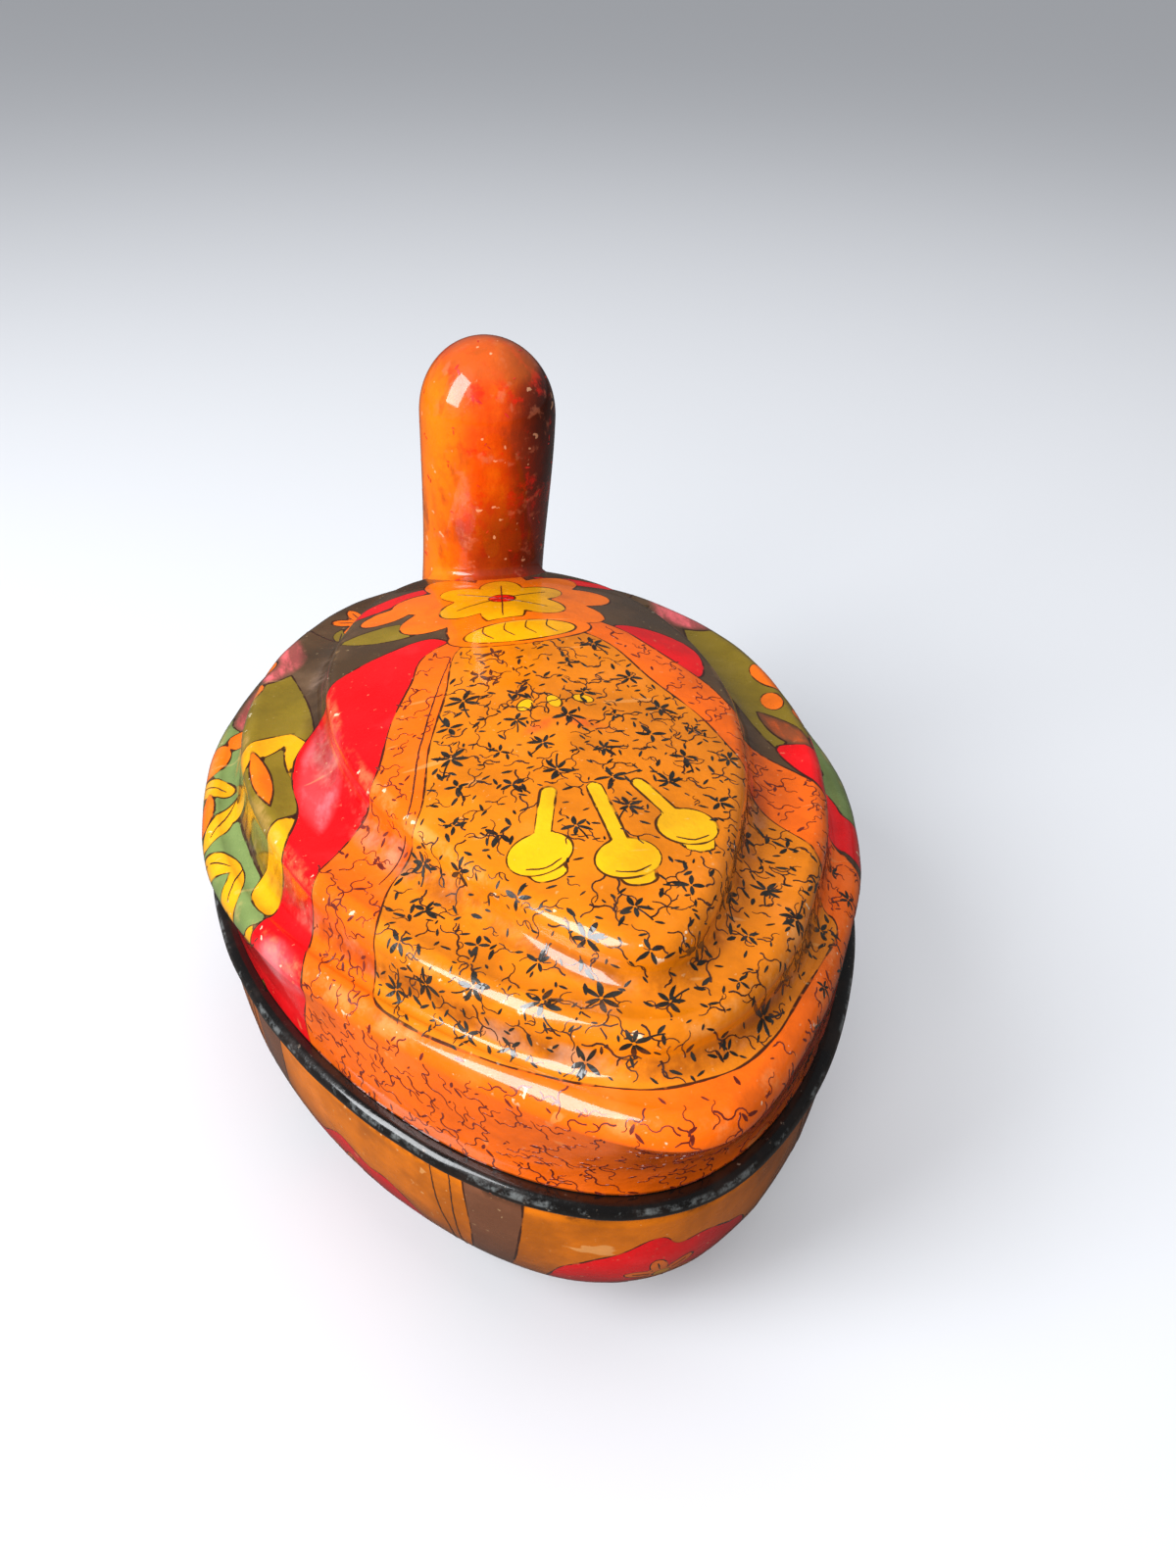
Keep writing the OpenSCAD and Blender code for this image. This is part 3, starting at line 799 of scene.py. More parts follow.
def right_flank(canvas):
    """Petals and leaves down the right side"""
    canvas.oval("amber", (49.5, 4), 5.0, 3.0, 100)
    canvas.oval("amber", (46.5, -5), 3.2, 2.2, 70)
    canvas.oval("amber", (51.5, -12), 4.6, 2.6, 110)
    canvas.leaf("rust", (42, -8), (47, -24), 5.2)
    canvas.leaf("scarlet", (49, -16), (50, -31), 4)
    canvas.leaf("amber", (66, -6), (70, -26), 4.2)


def breast_bloom(canvas):
    """A full blossom on the front of the crown, with leaves at its sides"""
    canvas.leaf("olive", (-12, 17), (-31, 22), 7)
    canvas.oval("amber", (-21, 28), 5.4, 3.2, 5)
    canvas.leaf("scarlet", (-8, 38), (-30, 32), 5)
    canvas.leaf("scarlet", (6, 44), (-6, 46), 5)
    canvas.leaf("scarlet", (10, 40), (27, 32), 4.6)
    centre = (1, 25)
    for a in range(0, 360, 40):
        x, y = compass(a)
        canvas.oval("amber", (centre[0] + 14.5 * x, centre[1] + 12.5 * y), 7.4, 5.2, a)
    for a in range(20, 380, 60):
        x, y = compass(a)
        canvas.oval("yellow", (centre[0] + 7.6 * x, centre[1] + 7 * y), 5.8, 4.2, a)
        canvas.draw([centre, (centre[0] + 10 * x, centre[1] + 9 * y)])
    canvas.oval("amber", (1, 9.5), 13.5, 5.4)
    canvas.oval("yellow", (1, 9.2), 10.5, 3.9, outlined=False)
    for x in (-5, -1, 3, 7):
        canvas.draw([(x, 12.6), (x - 0.8, 10), (x + 0.6, 7.4)])
    canvas.oval("scarlet", centre, 2.6, 2.2)


def gold_buds(canvas):
    """Three gold buds on stems, and faint leaves above them"""
    for stem, bud in (((-6, -39), (-10.5, -52)), ((1, -40), (1, -57)), ((8, -40), (12, -51))):
        canvas.lay("gold", canvas.to_line([stem, bud]) - 1.25)
        canvas.oval("gold", bud, 4.9, 4.2, 15)
        canvas.oval("gold", (bud[0] + 0.3, bud[1] - 4.4), 2.6, 1.5, outlined=False)
        canvas.draw([(bud[0] - 2.6, bud[1] - 2.4), (bud[0], bud[1] - 3.2), (bud[0] + 2.6, bud[1] - 2.2)])
    canvas.leaf("rust", (-7, -24), (1, -20), 4, outlined=False)
    canvas.leaf("rust", (0, -20), (9, -26), 4, outlined=False)
    for x in (-4, 1, 6):
        canvas.oval("gold", (x, -15.5), 1.2, 1.9, 10 * x, outlined=False)


BOWL_COLOURS = ("band", "scarlet", "amber", "olive", "yellow")


def shifted(u, *points):
    """Points moved along the rim"""
    return [(u + x, y) for x, y in points]


def bowl_canvas(chart, perimeter):
    """The bowl's ornament: u runs along the rim from the tail and v down from the rim"""
    canvas = Canvas(chart, BOWL_COLOURS, perimeter)
    for u in (-31, 38, 92, 150, 206, -84, -134):
        canvas.field("band", shifted(
            u, (-0.5, -3), (8.5, -3), (8, 14), (6, 30), (4, 60), (-4, 60), (-1, 30), (0, 14)))
        canvas.draw(shifted(u, (-7, -1), (-6, 10), (-4, 20), (-5, 36)))
        canvas.draw(shifted(u, (-3.4, -1), (-3, 12), (-2, 26)))
    for u in (0, 64, 127, 180):
        scallop(canvas, u)
    for u in (-58, -112, -160):
        canvas.field("scarlet", shifted(
            u, (-17, 30), (-13, 20), (-8, 18), (-5, 15), (-1, 12.5), (5, 15), (10, 14.5), (15, 19),
            (18, 30), (10, 60), (-10, 60)))
        canvas.leaf("olive", (u + 3, 27), (u + 12, 33), 4)
        canvas.draw(shifted(u, (4, 28), (10, 31.5)))
        canvas.flower((u - 1, 24), 6.6, 6, "amber", "yellow", 40)
    return canvas


def scallop(canvas, u):
    """A red scalloped field with a cusp, and a flower with two leaves on it"""
    canvas.field("scarlet", shifted(
        u, (-18, 40), (-17, 19), (-12, 12.5), (-7, 9.5), (-3, 6.5), (0, 6.2), (2.5, 9), (7, 8.6),
        (12, 10.8), (17, 15.5), (20, 40), (8, 60), (-8, 60)))
    canvas.leaf("olive", (u - 3, 23), (u - 12, 32), 4.4)
    canvas.leaf("olive", (u + 5, 23), (u + 13, 33), 4.4)
    canvas.draw(shifted(u, (-4, 24), (-10, 30)))
    canvas.draw(shifted(u, (6, 24.5), (11.5, 31)))
    canvas.flower((u + 1, 19.5), 6.6, 6, "amber", "yellow", 15)


def bowl_ring(rim, t, d, floor_z, degrees, extra=0.0):
    """The bowl's face at an angle from the mouth, 0, to the flat foot, 90"""
    a = math.radians(degrees)
    foot, power = form().foot_share, 2 / form().fullness
    share = foot + (1 - foot) * abs(math.cos(a)) ** power
    mouth = RIM_LOW.z / MM
    flat = rim.inset(t, d) * share - rim.outward(t) * extra
    return lift(flat, mouth + (floor_z - mouth) * math.sin(a) ** power)


def bowl_chart(rim, t, outer):
    """Lengths along the rim from the tail and down from the rim, and the rim's whole length"""
    step = np.linalg.norm(np.diff(outer, axis=0), axis=-1)
    down = np.vstack([np.cumsum(step[::-1], 0)[::-1], np.zeros((1, AROUND))])
    plan = rim.plan(t)
    walk = np.concatenate([[0], np.cumsum(np.linalg.norm(np.diff(plan, axis=0), axis=1))])
    along = np.broadcast_to(walk - walk[AROUND * 3 // 4], down.shape)
    return np.stack([along, down], -1), walk[-1] + np.linalg.norm(plan[0] - plan[-1])


def build_bowl():
    """The bowl's shell, and the attributes of its ornament"""
    rim = outlines()[0]
    t = turn_angles()
    outside, wall = in_mm("rim_proud"), in_mm("wall")
    climb = [90 * (1 - i / BOWL_STEPS) for i in range(BOWL_STEPS + 1)]
    outer = np.array([bowl_ring(rim, t, outside, 0, a) for a in climb])
    calm = np.sin(math.pi * np.linspace(0, 1, len(outer))[:, None]) ** 0.4
    outer = outer - grid_normals(outer) * (np.abs(waver(outer, in_mm("waver"))) * calm)[..., None]
    dive = [90 * i / FLOOR_STEPS for i in range(FLOOR_STEPS + 1)]
    inner = np.array([bowl_ring(rim, t, outside + wall, wall, a) for a in dive])
    chart, perimeter = bowl_chart(rim, t, outer)
    canvas = bowl_canvas(chart, perimeter)
    mesh = shell_mesh("bowl", np.concatenate([outer, inner]), (0, 0, 0), (0, 0, wall))
    for name, values in (*canvas.colours.items(), ("relief", chart[..., 1])):
        put_attribute(mesh, name, np.concatenate([values, np.full(inner.shape[:2], FAR)]))
    put_slots(mesh, slice(BOWL_STEPS * AROUND, -2 * AROUND), slice(-AROUND, None))
    materials = (lacquered("bowl_paint", bowl_ground, 0.9), black_lacquer("bowl_inside"))
    place(mesh, "base", materials, ["base_shell"])
    first = chart[..., 0].min()
    wrapped = [(wrap(line, perimeter, first), half) for line, half in canvas.lines]
    drawn = Chart(chart, outer).lines_mesh("bowl_lines", wrapped)
    place(drawn, "base", [ink_coat("bowl_ink", shade("ink"))])


def wrap(line, perimeter, first):
    """A line brought as a whole into the chart's span, which starts at first"""
    start = line[0][0]
    shift = (start - first) % perimeter + first - start
    return [(u + shift, v) for u, v in line]


def bowl_ground(finish):
    """The bowl's paint, darker towards the foot and rubbed with black below the rim"""
    painted = layered(finish, BOWL_COLOURS, tinted(finish, shade("bowl"), 0.6, 1.35, 45))
    down = finish.attribute("relief")
    rubbed = down.ramp(0, 3, 1, 0) * finish.noise(160, 4, 0.7).ramp(0.5, 0.62)
    return finish.coats(
        painted,
        (down.ramp(10, 40) * 0.45, srgb(140, 62, 20), "MULTIPLY"),
        (rubbed * 0.7, srgb(20, 14, 10)))


def black_lacquer(name, chips_and_glint=0.0):
    """Black lacquer with rubbed places. Where its second argument is above 0 it also takes pale and orange
    chipped places, and a pale painted glint along the outer edge
    """
    finish = Finish(name)
    cloud = finish.noise(90, 5, 0.65)
    dust = finish.noise(700, 3, 0.6).ramp(0.68, 0.74)
    colours = finish.coats(
        shade("black"), (cloud.ramp(0.45, 0.7), srgb(34, 24, 19)), (dust * 0.35, srgb(176, 158, 138)))
    if chips_and_glint:
        edge = finish.attribute("relief")
        # Painted highlight: a pale bluish glint along the edging's outer edge
        line = edge.ramp(0.9, 1.0) * finish.noise(160, 5, 0.75).ramp(0.48, 0.62)
        spots = finish.noise(62, 5, 0.7)
        flake = edge.ramp(0.3, 0.9) * spots.ramp(0.67, 0.69)
        heart = edge.ramp(0.4, 0.9) * spots.ramp(0.695, 0.71)
        colours = finish.coats(
            colours,
            (line * 0.35 * chips_and_glint, srgb(158, 164, 164)),
            (flake * chips_and_glint, srgb(222, 104, 58)),
            (heart * chips_and_glint, srgb(238, 190, 166)))
    finish.set(base=colours, rough=cloud.ramp(0.3, 0.7, 0.18, 0.42), coat=0.8, coat_rough=0.08, specular=0.3)
    finish.bump(finish.noise(150, 4, 0.6) + finish.noise(900, 2) * 0.3, 0.35, 0.0006)
    return finish.material


def build_rim():
    """The black edging, laid on by hand, so its outer edge wavers a little"""
    rim = outlines()[0]
    t = turn_angles()
    low, high = RIM_LOW.z / MM, RIM_HIGH.z / MM
    inner = in_mm("rim_proud") + in_mm("wall")
    radius = (high - low) / 2
    soft = 0.3
    rings, edge = [], []
    for i in range(RIM_STEPS + 1):
        a = math.radians(-90 + 180 * i / RIM_STEPS)
        rings.append(rim.ring(t, radius * (1 - math.cos(a)), low + radius * (1 + math.sin(a))))
        # How near the edging's outer edge a point lies, which sets its chips and its painted glint
        edge.append(max(0.0, math.cos(a - 0.5)))
    outer = np.array(rings)
    x, y = outer[..., 0], outer[..., 1]
    uneven = 0.5 + 0.28 * np.sin(x / 5.3 + y / 8.9) + 0.22 * np.sin(x / 2.7 - y / 3.3 + 1)
    side = np.cos(np.radians(np.linspace(-90, 90, len(outer))))[:, None] * in_mm("waver") * uneven
    outer[..., :2] -= rim.outward(t) * side[..., None]
    flat = [rim.ring(t, d, high) for d in np.linspace(radius + 0.5, inner - soft, RIM_FLAT_RINGS)]
    corner = [rim.ring(t, inner, high - soft), rim.ring(t, inner, low)]
    mesh = shell_mesh("rim", list(outer) + flat + corner)
    put_attribute(mesh, "relief", np.repeat(edge + [0.25] * len(flat) + [0.0] * len(corner), AROUND))
    place(mesh, "base", [black_lacquer("rim_black", 1.0)], ["base_rim"])


def build_collar():
    """The collar's strip against the bowl, with softened upper edges"""
    rim = outlines()[0]
    t = turn_angles()
    wall = in_mm("wall")
    inner = in_mm("rim_proud") + wall
    thick = in_mm("collar_t")
    drop = (in_mm("collar_down") - in_mm("rim_h")) / (RIM_LOW.z / MM - wall)
    last = math.degrees(math.asin(drop ** (form().fullness / 2)))
    top = rim.height + in_mm("collar_up")
    side = [last * (1 - i / COLLAR_STEPS) for i in range(COLLAR_STEPS + 1)]
    outer = [bowl_ring(rim, t, inner, wall, a) for a in side]
    back = [bowl_ring(rim, t, inner, wall, a, thick) for a in reversed(side)]
    bend = 0.5
    over = []
    for degrees in range(0, 181, 30):
        a = math.radians(degrees)
        centre = bend if degrees < 90 else thick - bend
        over.append(rim.ring(t, inner + centre - bend * math.cos(a), top - bend + bend * math.sin(a)))
    mesh = shell_mesh("collar", outer + over + back)
    place(mesh, "base", [black_lacquer("collar_black")], ["inner_collar"])


def build_lid():
    """The moulded shell of the lid with its three tiers, and the attributes of its ornament"""
    t = turn_angles()
    rings, crown = lid_rings(t)
    outer = np.array([ring for ring, outline, relief in rings])
    normals = grid_normals(outer)
    wall = in_mm("lid_wall")
    picks = range(8, len(outer) - 6, 7)
    foot_in = in_mm("rim_proud") + in_mm("wall") - in_mm("collar_gap")
    foot = outlines()[0].ring(t, foot_in, outer[0, 0, 2])
    inner = np.array([outer[i] - normals[i] * wall for i in reversed(picks)] + [foot])
    calm = np.clip(np.arange(len(outer)) / 14, 0, 1)[:, None] ** 2
    outer = outer + normals * (waver(outer, in_mm("waver")) * calm)[..., None]
    mesh = shell_mesh("lid", np.concatenate([inner, outer]), (0, 0, crown - wall), (0, 0, crown + 0.05))
    chart = paint_chart(rings, WALL_STEPS + 1)
    canvas = lid_canvas(chart)
    blank = np.full(inner.shape[:2], FAR)
    for name, values in canvas.colours.items():
        put_attribute(mesh, name, np.concatenate([blank, values]))
    relief = np.repeat([r for ring, outline, r in rings], AROUND).reshape(-1, AROUND)
    put_attribute(mesh, "relief", np.concatenate([blank * 0, relief]))
    corner = np.maximum(canvas.colours["orange"], canvas.to_oval((52, -78), 44, 30, -30))
    put_attribute(mesh, "corner", np.concatenate([blank, corner]))
    put_slots(mesh, slice(0, len(inner) * AROUND), slice(-2 * AROUND, -AROUND))
    materials = (lacquered("lid_paint", lid_ground), black_lacquer("lid_inside"))
    place(mesh, "lid", materials, ["lid_shell"])
    ink = ink_coat("lid_ink", shade("ink"))
    place(Chart(chart, outer).lines_mesh("lid_lines", canvas.lines), "lid", [ink])


def neck_ring(k, t):
    """The neck from its root, 0, to the head's widest place, 1"""
    grow = k * k * (3 - 2 * k)
    swell = in_mm("root_swell") * (1 - k) ** 3
    middle = outlines()[2]
    root_y = middle.front + in_mm("neck_over") - in_mm("neck_r")
    low = RIM_HIGH.z / MM + 6
    high = RIM_HIGH.z / MM + in_mm("head_up")
    r = in_mm("neck_r")
    side = r + (in_mm("head_half_w") - r) * grow + swell
    front = r + (in_mm("head_front") - r) * k ** 3 + swell
    rear = r + (in_mm("head_rear") - r) * grow + swell
    x = in_mm("neck_side") + in_mm("head_lean") * k + side * np.cos(t)
    y = root_y - in_mm("head_back") * grow + np.where(np.sin(t) >= 0, front, rear) * np.sin(t)
    return np.stack([x, y, low + (high - low) * k + 0 * t], -1)


def head_centre():
    """The middle of the head's widest place in millimetres"""
    middle = outlines()[2]
    y = middle.front + in_mm("neck_over") - in_mm("neck_r") - in_mm("head_back")
    return in_mm("neck_side") + in_mm("head_lean"), y, RIM_HIGH.z / MM + in_mm("head_up")


def cap_ring(a, t):
    """The head over its widest place"""
    x, y, z = head_centre()
    reach = np.where(np.sin(t) >= 0, in_mm("head_front"), in_mm("head_rear"))
    across = x + in_mm("head_half_w") * math.cos(a) * np.cos(t)
    ring = np.stack([across, y + reach * math.cos(a) * np.sin(t)], -1)
    return lift(ring, z + in_mm("head_crown") * math.sin(a))


def beak_mesh():
    """A blunt beak that starts inside the head, narrows and droops a little"""
    depth, droop, blunt = 8, 1.5, 0.6
    x, y, z = head_centre()
    t = turn_angles(64)
    start, reach = in_mm("head_front") - depth, in_mm("beak_len") + depth
    rings = []
    for i in range(BEAK_STEPS + 1):
        k = (i / BEAK_STEPS) ** 0.7 * 0.999
        end = 1 if k < blunt else math.sqrt(1 - ((k - blunt) / 0.4) ** 2)
        half_w, half_h = (15 - 5 * k) / 2 * end, (11 - 7 * k) / 2 * end
        root = 1 + 0.25 * (1 - k) ** 3
        across, up = -half_w * root * np.cos(t), half_h * root * np.sin(t)
        rings.append(np.stack([x + across, np.full(t.shape, y + start + reach * k), z - droop * k + up], -1))
    return shell_mesh("beak", rings, (x, y + start, z), (x, y + start + reach, z - droop))


class Ground:
    """The lid's outer face as the ground that the neck stands on, in millimetres"""

    def __init__(self):
        graph = bpy.context.evaluated_depsgraph_get()
        self.surface = BVHTree.FromObject(bpy.data.objects["lid"], graph)

    def height(self, point):
        hit = self.surface.ray_cast(Vector((point[0], point[1], 200)) * MM, Vector((0, 0, -1)))[0]
        return hit.z / MM if hit else RIM_HIGH.z / MM + 4

    def heights(self, flat):
        return np.array([self.height(p) for p in flat])

    def draped(self, flat, above):
        return lift(flat, self.heights(flat) + above)


def neck_start(ground, t, size):
    """How far up the neck's side the fillet reaches, all round"""
    levels = np.linspace(0, 0.6, 70)
    column = np.array([neck_ring(k, t) for k in levels])
    start = np.empty(len(t))
    for j in range(len(t)):
        over = [p[2] - ground.height(p) - size for p in column[:, j]]
        i = next(i for i, height in enumerate(over) if height > 0)
        start[j] = levels[i]
        if i:
            start[j] = levels[i] - (levels[i] - levels[i - 1]) * over[i] / (over[i] - over[i - 1])
    return start


def fillet_reach(ground, foot, t, size):
    """The fillet's reach outward, which is shorter where the ground falls away"""
    way = np.stack([np.cos(t), np.sin(t)], -1)
    level, ahead = (ground.heights(foot + way * out) for out in (-0.5, size + 0.5))
    fall = np.clip((level - ahead) / (size + 1), 0, 4)
    for turn in range(6):
        fall = (np.roll(fall, 1) + fall + np.roll(fall, -1)) / 3
    return way * (size / (1 + 1.6 * fall))[:, None]


def build_neck():
    """The solid neck and head with the filler's fillet round its root, seated in the lid's outer coat"""
    ground = Ground()
    seat = -1.5
    t = turn_angles(NECK_AROUND)
    size = in_mm("fillet")
    start = neck_start(ground, t, size)
    foot = neck_ring(start, t)[:, :2]
    reach = fillet_reach(ground, foot, t, size)
    skirt = []
    for degrees in range(90, 0, -10):
        a = math.radians(degrees)
        skirt.append(ground.draped(foot + reach * (1 - math.cos(a)), size * (1 - math.sin(a))))
    middle = foot.mean(0)
    rim = foot + reach
    sole = [ground.draped(middle + (rim - middle) * share, seat) for share in (0.2, 0.4, 0.6, 0.8, 1)]
    neck = [neck_ring(start + (1 - start) * i / NECK_STEPS, t) for i in range(NECK_STEPS + 1)]
    cap = [cap_ring(math.radians(90 * i / CAP_STEPS), t) for i in range(1, CAP_STEPS)]
    x, y, z = head_centre()
    low = (middle[0], middle[1], ground.height(middle) + seat)
    body = shell_mesh("neck_body", sole + skirt + neck + cap, low, (x, y, z + in_mm("head_crown")))
    mesh = smoothed(body, beak_mesh())
    places = np.empty(len(mesh.vertices) * 3, np.float32)
    mesh.vertices.foreach_get("co", places)
    places = places.reshape(-1, 3) / MM
    put_attribute(mesh, "nape", places[:, 1] - y - 4 + np.maximum(0, 60 - places[:, 2]))
    place(mesh, "lid", [neck_paint()], ["neck_and_head"])


def baked(piece, name):
    """The evaluated mesh of an object that is only there to build it"""
    bpy.context.view_layer.update()
    mesh = bpy.data.meshes.new_from_object(piece.evaluated_get(bpy.context.evaluated_depsgraph_get()))
    mesh.name = name
    bpy.data.objects.remove(piece)
    return mesh


def head_point(x, y, z):
    """A place given from the middle of the head in millimetres"""
    middle = head_centre()
    return tuple((a + b) * MM for a, b in zip(middle, (x, y, z)))


def smoothed(body, beak):
    """The neck and the beak joined to one skin"""
    build = bmesh.new()
    build.from_mesh(body)
    build.from_mesh(beak)
    build.to_mesh(body)
    build.free()
    joined = linked("neck_build", body)
    remesh = joined.modifiers.new("Remesh", "REMESH")
    remesh.mode = "VOXEL"
    remesh.voxel_size = 0.5 * MM
    soften = joined.modifiers.new("Soften", "SMOOTH")
    soften.factor = 0.5
    soften.iterations = 6
    mesh = baked(joined, "neck")
    mesh.shade_smooth()
    return mesh


EYE = ((0.0042, (30, 14, 8)), (0.0035, (236, 190, 60)), (0.0019, (18, 10, 8)))


def neck_paint():
    """Orange on the left that passes over red-brown to nearly black on the right, with a painted face. The
    darkening to the right is partly the paint's own tone and partly painted shade on the side away from the
    window lamp, and the lighter strokes on the left are painted light
    """
    finish = Finish("head_paint")
    height, depth = finish.axis("Z"), finish.axis("Y")
    across = finish.axis("X") + finish.noise(70, 4, 0.6) * 0.012 - 0.006
    stroke = finish.noise(130, 5, 0.65, stretch=(1.2, 1.2, 0.55))
    # Painted light: lighter orange strokes on the side towards the window lamp
    painted_window_light = stroke.ramp(0.50, 0.68) * across.ramp(0.012, 0.004)
    spots = finish.noise(190, 5, 0.65).ramp(0.52, 0.64) * across.ramp(-0.009, 0.001)
    low_band = height.ramp(0.098, 0.084) * (across + stroke * 0.02 - 0.01).ramp(-0.008, 0.002)
    bald = finish.noise(260, 4, 0.6).ramp(0.58, 0.68) * across.ramp(-0.01, -0.002)
    crown = finish.distance(head_point(1, -2, 13)).ramp(0.0105, 0.0075)
    bib = depth.ramp(0.060, 0.064) * height.ramp(0.0625, 0.0605)
    beak = depth.ramp(0.0655, 0.0665) * height.ramp(0.098, 0.0985)
    result = finish.coats(
        srgb(252, 122, 4),
        (across.ramp(-0.009, 0.001), srgb(216, 68, 2)),
        # Darker towards the right: partly the paint's own tone, partly painted shade
        (across.ramp(0.003, 0.010), srgb(126, 36, 4)),
        (across.ramp(0.009, 0.016), srgb(62, 19, 4)),
        (painted_window_light * 0.5, srgb(240, 104, 8)),
        (stroke.ramp(0.47, 0.30) * 0.6, srgb(130, 44, 10)),
        (spots * 0.8, srgb(222, 30, 4)),
        (low_band * 0.75, srgb(116, 34, 8)),
        (bald * 0.4, srgb(214, 120, 84)),
        (crown * 0.6, srgb(196, 92, 30)),
        (bib, shade("umber")),
        (beak, srgb(206, 150, 40)))
    for side in (-1, 1):
        eye = finish.distance(head_point(side * 11.6, 7.5, 2.6))
        result = finish.coats(result, *((eye.ramp(r + 0.0002, r), srgb(*tone)) for r, tone in EYE))
    fleck = finish.noise(480, 2, 0.5).ramp(0.69, 0.72)
    result = finish.mix(fleck * 0.6, result, srgb(248, 184, 140))
    finish.set(base=result, rough=finish.noise(130, 4, 0.6).ramp(0.3, 0.7, 0.22, 0.5))
    finish.set(coat=1.0, coat_rough=0.07, specular=0.15)
    finish.bump(finish.noise(150, 4, 0.6) + finish.noise(1000, 2) * 0.25, 0.4, 0.0007)
    return finish.material


class Chart:
    """Carries lines from the flat chart of the ornament to the surface it was unrolled from"""

    def __init__(self, chart, grid):
        rows, count = chart.shape[:2]
        self.flat = [Vector((u, v, 0)) for u, v in chart.reshape(-1, 2)]
        self.solid = [Vector(p) for p in grid.reshape(-1, 3)]
        self.normals = [Vector(p) for p in grid_normals(grid).reshape(-1, 3)]
        i, j = np.meshgrid(np.arange(rows - 1) * count, np.arange(count - 1), indexing="ij")
        a = (i + j).ravel()
        first, second = np.stack([a, a + 1, a + count + 1], -1), np.stack([a, a + count + 1, a + count], -1)
        self.faces = np.concatenate([first, second]).tolist()
        self.tree = BVHTree.FromPolygons(self.flat, self.faces)

    def drape(self, u, v):
        """The place on the surface and the normal there"""
        spot, way, face, distance = self.tree.find_nearest(Vector((u, v, 0)))
        corners = self.faces[face]
        flat = [self.flat[c] for c in corners]
        place_at = barycentric_transform(spot, *flat, *(self.solid[c] for c in corners))
        return place_at, sum((self.normals[c] for c in corners), Vector()).normalized()

    def lines_mesh(self, name, lines):
        """A closed thin stroke on the surface for each (points, half width)"""
        thick = in_sprigs("lift")
        chance = random.Random(len(lines))
        points, faces = [], []
        for line, half in lines:
            path = drawn_path(line, chance)
            spots = [self.drape(u, v) for u, v in path]
            base = len(points)
            for i, (spot, normal) in enumerate(spots):
                ahead = spots[min(i + 1, len(spots) - 1)][0] - spots[max(i - 1, 0)][0]
                taper = 0.35 + 0.65 * math.sin(math.pi * (0.12 + 0.76 * i / (len(spots) - 1)))
                side = normal.cross(ahead).normalized() * half * taper * chance.uniform(0.8, 1.15)
                up = normal * thick
                points += [spot + side - up * 3, spot - side - up * 3, spot - side + up, spot + side + up]
            faces += stroke_faces(base, len(spots))
        mesh = bpy.data.meshes.new(name)
        mesh.from_pydata([tuple(p * MM) for p in points], [], faces)
        mesh.update()
        return mesh


def drawn_path(line, chance):
    """Points along a line drawn by hand, bent softly at its corners"""
    ends = [line[0], *line, line[-1]]
    path = []
    for i in range(len(line) - 1):
        near = ends[i:i + 4]
        count = max(2, int(math.dist(near[1], near[2]) / PATH_STEP))
        for j in range(count):
            path.append(tuple(c + chance.uniform(-0.05, 0.05) for c in between(near, j / count)))
    return path + [line[-1]]


def stroke_faces(base, count):
    """Faces of a stroke whose sections are four points each"""
    faces = []
    for i in range(1, count):
        a, b = base + 4 * i - 4, base + 4 * i
        faces += [(a + k, b + k, b + (k + 1) % 4, a + (k + 1) % 4) for k in range(4)]
    end = base + 4 * count
    return faces + [(base, base + 1, base + 2, base + 3), (end - 1, end - 2, end - 3, end - 4)]


